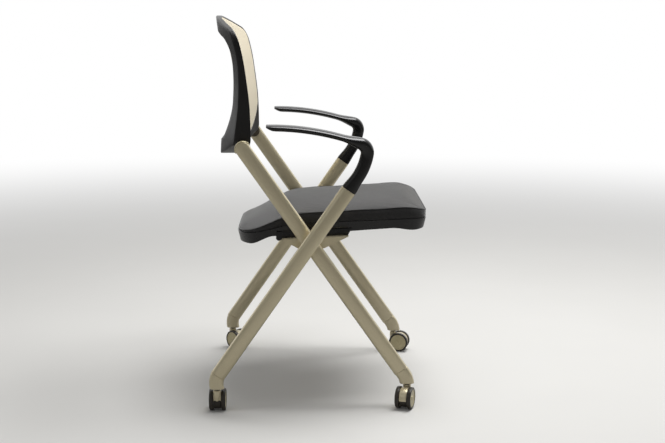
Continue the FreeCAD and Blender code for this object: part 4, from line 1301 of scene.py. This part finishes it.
class CHAIR_OT_arms(PieceOperator, bpy.types.Operator):
    """Build the two moulded arms"""

    bl_idname = "chair.arms"
    bl_label = "Arms"

    def execute(self, context):
        for side, sign in SIDES:
            piece = build_piece(f"armrest_{side}", [arm_grid(sign * REAR_LEG_PLANE)])
            settle(piece, "arm_polypropylene", "arm_plastic", "frame", f"arm_{side}")
        return {"FINISHED"}


class CHAIR_OT_back_frame(PieceOperator, bpy.types.Operator):
    """Build the moulded ring of the back"""

    bl_idname = "chair.back_frame"
    bl_label = "Back frame"

    def execute(self, context):
        edge = context.scene.chair_sizes.back_edge / MM
        piece = build_piece("back_ring", [back_ring_grid(edge)], 30.0)
        settle(piece, "back_frame_polypropylene", "frame_plastic", "frame", "back_frame")
        return {"FINISHED"}


class CHAIR_OT_back_mesh(PieceOperator, bpy.types.Operator):
    """Build the stretched mesh of the back"""

    bl_idname = "chair.back_mesh"
    bl_label = "Back mesh"

    def execute(self, context):
        piece = build_piece("back_mesh_panel", [mesh_panel_grid()])
        wall = piece.modifiers.new("Yarn", "SOLIDIFY")
        wall.thickness = context.scene.chair_sizes.mesh_thickness
        wall.offset = 0.0
        settle(piece, "knitted_back_polyester", "mesh_fabric", "frame", "back_mesh")
        return {"FINISHED"}


def filled(piece, pins, pressure, cap):
    """Fill a closed cover by cloth simulation, the pinned points held, and keep the result.

    The cap, in metres, is as far as a point may move.
    """
    scene = bpy.context.scene
    points = np.empty(len(piece.data.vertices) * 3)
    piece.data.vertices.foreach_get("co", points)
    points = points.reshape(-1, 3)
    group = piece.vertex_groups.new(name="held")
    group.add([int(i) for i in np.flatnonzero(pins)], 1.0, "REPLACE")
    cloth = piece.modifiers.new("Filling", "CLOTH")
    cloth.settings.use_pressure = True
    cloth.settings.uniform_pressure_force = pressure
    cloth.settings.effector_weights.gravity = 0.0
    cloth.settings.vertex_group_mass = "held"
    cloth.settings.quality = 6
    cloth.point_cache.frame_start = 1
    cloth.point_cache.frame_end = FILL_FRAMES
    for step in range(1, FILL_FRAMES + 1):
        scene.frame_set(step)
    shown = piece.evaluated_get(bpy.context.evaluated_depsgraph_get())
    moved = np.empty(len(points) * 3)
    shown.data.vertices.foreach_get("co", moved)
    shift = moved.reshape(-1, 3) - points
    size = np.linalg.norm(shift, axis=1)
    shift *= np.minimum(1.0, cap / np.maximum(size, 1e-9))[:, None]
    piece.modifiers.remove(cloth)
    piece.data.vertices.foreach_set("co", (points + shift).ravel())
    piece.data.update()
    scene.frame_set(1)


class CHAIR_OT_cushion(PieceOperator, bpy.types.Operator):
    """Build the upholstered cushion and fill it"""

    bl_idname = "chair.cushion"
    bl_label = "Seat cushion"

    def execute(self, context):
        swell = context.scene.chair_sizes.swell / MM
        piece = build_piece("cushion", [cushion_grid(swell)], 60.0)
        cover = piece.modifiers.new("Cover", "REMESH")
        cover.mode = "VOXEL"
        cover.voxel_size = COVER_VOXEL * MM
        eased_cover = piece.modifiers.new("Eased", "SMOOTH")
        eased_cover.factor = 0.5
        eased_cover.iterations = 3
        bpy.context.view_layer.update()
        shown = piece.evaluated_get(bpy.context.evaluated_depsgraph_get())
        mesh = bpy.data.meshes.new_from_object(shown)
        piece.modifiers.clear()
        piece.data = mesh
        points = np.empty(len(mesh.vertices) * 3)
        mesh.vertices.foreach_get("co", points)
        points = points.reshape(-1, 3) / MM
        seam = piping_path()
        gaps = np.full(len(points), np.inf)
        for part in np.array_split(seam, 12):
            apart = np.linalg.norm(points[:, None] - part[None], axis=2)
            gaps = np.minimum(gaps, apart.min(axis=1))
        under = points[:, 2] < parting_z(points[:, 0]) + FOOT_HOLD
        filled(piece, (gaps < SEAM_HOLD) | under, FILL_PRESSURE, FILL_CAP * MM)
        mesh.shade_smooth()
        finer = piece.modifiers.new("Finer", "SUBSURF")
        finer.levels = 1
        finer.render_levels = 1
        settle(piece, "woven_seat_polyester", "seat_fabric", "seat", "seat_cushion")
        return {"FINISHED"}


class CHAIR_OT_piping(PieceOperator, bpy.types.Operator):
    """Build the piping along the cushion's top seam"""

    bl_idname = "chair.piping"
    bl_label = "Seat piping"

    def execute(self, context):
        radius = context.scene.chair_sizes.piping / MM
        cushion = bpy.data.objects["cushion"]
        shown = cushion.evaluated_get(bpy.context.evaluated_depsgraph_get())
        tree = BVHTree.FromObject(shown, bpy.context.evaluated_depsgraph_get())
        path = piping_path()
        found = [tree.find_nearest(Vector(point * MM))[0] for point in path]
        path = np.array(found) / MM
        for _ in range(3):
            before, after = np.roll(path[:-1], 1, axis=0), np.roll(path[:-1], -1, axis=0)
            path[:-1] = (before + 2 * path[:-1] + after) / 4
        path[-1] = path[0]
        piece = build_piece("cushion_piping", [tube_round(path, radius)])
        settle(piece, "piping_polyester", "seat_fabric", "seat")
        return {"FINISHED"}


class CHAIR_OT_seat_pan(PieceOperator, bpy.types.Operator):
    """Build the moulded pan with its ribs"""

    bl_idname = "chair.seat_pan"
    bl_label = "Seat pan"

    def execute(self, context):
        grids = [pan_grid()]
        for y in (-RIB_PITCH_Y, 0.0, RIB_PITCH_Y):
            grids.append(rib_grid((SEAT_REAR + 10, y), (SEAT_FRONT - 10, y)))
        first = (SEAT_REAR + SEAT_FRONT - 2 * RIB_PITCH_X) / 2
        for i in range(3):
            x = first + i * RIB_PITCH_X
            grids.append(rib_grid((x, -SEAT_HALF + 12), (x, SEAT_HALF - 12)))
        piece = build_piece("seat_pan_shell", grids, 30.0)
        settle(piece, "pan_polypropylene", "pan_plastic", "seat", "seat_pan")
        return {"FINISHED"}


class CHAIR_OT_wheels(PieceOperator, bpy.types.Operator):
    """Build the tyres and discs of the eight wheels"""

    bl_idname = "chair.wheels"
    bl_label = "Wheels"

    def execute(self, context):
        for caster in CASTERS:
            name = caster[0]
            for letter, side in (("a", 1.0), ("b", -1.0)):
                node = f"caster_{name}_wheel_{letter}"
                body = f"wheel_{name}_{letter}"
                grid = placed(turned(tyre_profile(), side), caster)
                tyre = build_piece(f"tyre_{name}_{letter}", [grid])
                settle(tyre, "tread_polyurethane", "wheel_tread", body, node)
                grid = placed(turned(disc_profile(), side), caster)
                disc = build_piece(f"disc_{name}_{letter}", [grid])
                settle(disc, "champagne_cap_plastic", "champagne_cap", body)
        return {"FINISHED"}


class CHAIR_OT_caster_bodies(PieceOperator, bpy.types.Operator):
    """Build the bodies, axle housings and stems of the four casters"""

    bl_idname = "chair.caster_bodies"
    bl_label = "Caster bodies"

    def execute(self, context):
        for caster in CASTERS:
            name = caster[0]
            body = f"caster_{name}"
            grids = [placed(shield_grid(), caster), placed(fender_grid(), caster)]
            shield = build_piece(f"caster_shield_{name}", grids)
            node = f"caster_{name}_body"
            settle(shield, "champagne_casting_paint", "champagne_casting", body, node)
            core = build_piece(f"caster_core_{name}", [placed(turned(core_profile(), 1.0), caster)])
            # The housing takes the dark tread finish as painted shade between the wheels
            settle(core, "tread_polyurethane", "wheel_tread", body)
            stem = build_piece(f"caster_stem_{name}", [placed(stem_grid(), caster)])
            settle(stem, "plated_steel", "steel", body)
        return {"FINISHED"}


# CAD nodes whose shape is kept, with their finish
CAD_FINISHES = {
    "crossing_spacers": "champagne_powder_coat",
    "cross_beam": "champagne_powder_coat",
    "beam_end_plates": "champagne_powder_coat",
    "hinge_lugs": "bronze_casting_paint",
    "hinge_pins": "plated_steel",
    "rest_bumpers": "stop_rubber",
    "back_screws": "plated_steel",
    "seat_bearer": "pan_polypropylene",
    "seat_screws": "plated_steel",
    "caster_right_rear_axle": "plated_steel",
    "caster_right_front_axle": "plated_steel",
    "caster_left_front_axle": "plated_steel",
    "caster_left_rear_axle": "plated_steel",
}
EASED_NODES = ("cross_beam", "seat_bearer", "rest_bumpers", "crossing_spacers")


class CHAIR_OT_hardware(PieceOperator, bpy.types.Operator):
    """Finish the beam, hinge, bearer, stops, axles and screws, whose CAD shape is kept"""

    bl_idname = "chair.hardware"
    bl_label = "Beam, hinge and fixings"

    def execute(self, context):
        for node, material in CAD_FINISHES.items():
            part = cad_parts[node]
            if not part.material_slots:
                part.data.materials.append(None)
            for place in part.material_slots:
                place.material = finish(material)
            if node in EASED_NODES:
                weld = part.modifiers.new("Weld", "WELD")
                weld.merge_threshold = 1e-5
                ease = part.modifiers.new("Ease", "BEVEL")
                ease.width = 0.0008
                ease.segments = 2
                ease.limit_method = "ANGLE"
                ease.angle_limit = math.radians(35)
                ease.harden_normals = True
        return {"FINISHED"}


class CHAIR_OT_stage(PieceOperator, bpy.types.Operator):
    """Build the floor, the light and the camera"""

    bl_idname = "chair.stage"
    bl_label = "Stage"

    def execute(self, context):
        scene = context.scene
        scene.view_settings.view_transform = "Standard"
        self.floor(scene)
        self.world(scene)
        self.light(scene)
        self.camera(scene)
        return {"FINISHED"}

    def floor(self, scene):
        """A wide floor that fades to white far from the chair. Reflections see it darker,
        like the carpet of the photograph."""
        line = np.linspace(-FLOOR_REACH, FLOOR_REACH, 9)
        x, y = np.meshgrid(line, line)
        piece = build_piece("floor", [stacked(x, y, 0 * x)])
        if piece.data.polygons[0].normal.z < 0:
            piece.data.flip_normals()
        material, tree, place = start_material("pale_studio_floor")
        far = add_node(tree, "ShaderNodeVectorMath", {0: place}, operation="LENGTH")
        fade = add_node(tree, "ShaderNodeMapRange", {
            "Value": far.outputs["Value"],
            "From Min": 1.2, "From Max": 5.0, "To Min": 0.0, "To Max": 1.0},
            interpolation_type="SMOOTHSTEP")
        rays = add_node(tree, "ShaderNodeLightPath")
        seen = add_node(tree, "ShaderNodeMath", {
            0: fade.outputs["Result"], 1: rays.outputs["Is Camera Ray"]}, operation="MULTIPLY")
        cloud = add_node(tree, "ShaderNodeTexNoise", {
            "Vector": place, "Scale": 3.0, "Detail": 2.0})
        tone = scene.chair_colours.floor
        mixed = add_node(tree, "ShaderNodeMix", {
            "Factor": cloud.outputs["Fac"],
            MIX_A: shade(tone, 0.98), MIX_B: shade(tone, 1.02)}, data_type="RGBA")
        # Painted shade in reflections: glossy rays see the floor darker than the camera does
        reflected_shade = add_node(tree, "ShaderNodeMix", {
            "Factor": rays.outputs["Is Glossy Ray"],
            MIX_A: mixed.outputs[MIX_OUT], MIX_B: shade(tone, FLOOR_REFLECTION_SHADE)}, data_type="RGBA")
        paint = add_node(tree, "ShaderNodeBsdfPrincipled", {
            "Base Color": reflected_shade.outputs[MIX_OUT], "Roughness": 0.9, "Specular IOR Level": 0.2})
        white = add_node(tree, "ShaderNodeEmission", {"Color": (1, 1, 1, 1), "Strength": 1.0})
        both = add_node(tree, "ShaderNodeMixShader", {
            "Fac": seen.outputs[0], 1: paint.outputs["BSDF"], 2: white.outputs["Emission"]})
        add_node(tree, "ShaderNodeOutputMaterial", {"Surface": both.outputs[0]})
        piece.data.materials.append(material)

    def world(self, scene):
        """Even soft light all round. The camera sees it as white, and so do reflections
        of what lies behind the chair; towards the camera the room is dim, as in the
        photograph."""
        world = bpy.data.worlds.new("studio")
        scene.world = world
        world.use_nodes = True
        tree = world.node_tree
        tree.nodes.clear()
        rays = add_node(tree, "ShaderNodeLightPath")
        place = add_node(tree, "ShaderNodeTexCoord")
        axes = add_node(tree, "ShaderNodeSeparateXYZ", {"Vector": place.outputs["Generated"]})
        backdrop = add_node(tree, "ShaderNodeMapRange", {
            "Value": axes.outputs["Y"],
            "From Min": -0.5, "From Max": 0.3, "To Min": 0.14, "To Max": 1.0},
            interpolation_type="SMOOTHSTEP")
        soft, room, white = [
            add_node(tree, "ShaderNodeBackground", {
                "Color": (1.0, 1.0, 1.0, 1.0), "Strength": strength})
            for strength in (SOFT_LIGHT, backdrop.outputs["Result"], 1.0)
        ]
        shown = soft
        kinds = (("Is Glossy Ray", room), ("Is Transmission Ray", white), ("Is Camera Ray", white))
        for name, other in kinds:
            shown = add_node(tree, "ShaderNodeMixShader", {
                "Fac": rays.outputs[name], 1: shown.outputs[0], 2: other.outputs[0]})
        add_node(tree, "ShaderNodeOutputWorld", {"Surface": shown.outputs[0]})

    def light(self, scene):
        """A large overhead softbox and a weak one beside the camera."""
        for name, place, aim, size, power in LAMPS:
            lamp = bpy.data.lights.new(name, "AREA")
            lamp.size = size
            lamp.energy = power
            holder = bpy.data.objects.new(name, lamp)
            turn = (Vector(aim) - Vector(place)).to_track_quat("-Z", "Y")
            holder.matrix_world = Matrix.Translation(place) @ turn.to_matrix().to_4x4()
            scene.collection.objects.link(holder)

    def camera(self, scene):
        """The photograph's view: place, tilt and focal length worked out from its lines."""
        lens = bpy.data.cameras.new("view")
        lens.sensor_width = SENSOR
        lens.lens = PHOTO_FOCAL / PHOTO_WIDTH * SENSOR
        lens.clip_end = 200.0
        holder = bpy.data.objects.new("view", lens)
        right = Vector((math.cos(CAMERA_YAW), -math.sin(CAMERA_YAW), 0.0))
        level = Vector((math.sin(CAMERA_YAW), math.cos(CAMERA_YAW), 0.0))
        ahead = level * math.cos(CAMERA_DOWN) - Vector((0, 0, math.sin(CAMERA_DOWN)))
        up = right.cross(ahead)
        turn = Matrix((right, up, -ahead)).transposed().to_4x4()
        holder.matrix_world = Matrix.Translation(Vector(CAMERA_PLACE) * MM) @ turn
        scene.collection.objects.link(holder)
        scene.camera = holder


PIECE_OPERATORS = (
    CHAIR_OT_leg_tubes,
    CHAIR_OT_leg_ends,
    CHAIR_OT_leg_caps,
    CHAIR_OT_brackets,
    CHAIR_OT_arms,
    CHAIR_OT_back_frame,
    CHAIR_OT_back_mesh,
    CHAIR_OT_cushion,
    CHAIR_OT_piping,
    CHAIR_OT_seat_pan,
    CHAIR_OT_wheels,
    CHAIR_OT_caster_bodies,
    CHAIR_OT_hardware,
    CHAIR_OT_stage,
)


class CHAIR_PT_sidebar(bpy.types.Panel):
    """Sizes, colours and pieces of the chair"""

    bl_idname = "CHAIR_PT_sidebar"
    bl_label = "Nesting Chair"
    bl_space_type = "VIEW_3D"
    bl_region_type = "UI"
    bl_category = "Nesting Chair"

    def draw(self, context):
        layout = self.layout
        for group in (context.scene.chair_sizes, context.scene.chair_colours):
            box = layout.box()
            for name in group.__annotations__:
                box.prop(group, name)
        for operator in PIECE_OPERATORS:
            layout.operator(operator.bl_idname)


CLASSES = (ChairSizes, ChairColours, *PIECE_OPERATORS, CHAIR_PT_sidebar)


def register():
    for item in CLASSES:
        bpy.utils.register_class(item)
    bpy.types.Scene.chair_sizes = PointerProperty(type=ChairSizes)
    bpy.types.Scene.chair_colours = PointerProperty(type=ChairColours)


def unregister():
    del bpy.types.Scene.chair_colours
    del bpy.types.Scene.chair_sizes
    for item in reversed(CLASSES):
        bpy.utils.unregister_class(item)


def main():
    """Build every piece in order."""
    register()
    for operator in PIECE_OPERATORS:
        group, name = operator.bl_idname.split(".")
        getattr(getattr(bpy.ops, group), name)()


if __name__ == "__main__":
    main()
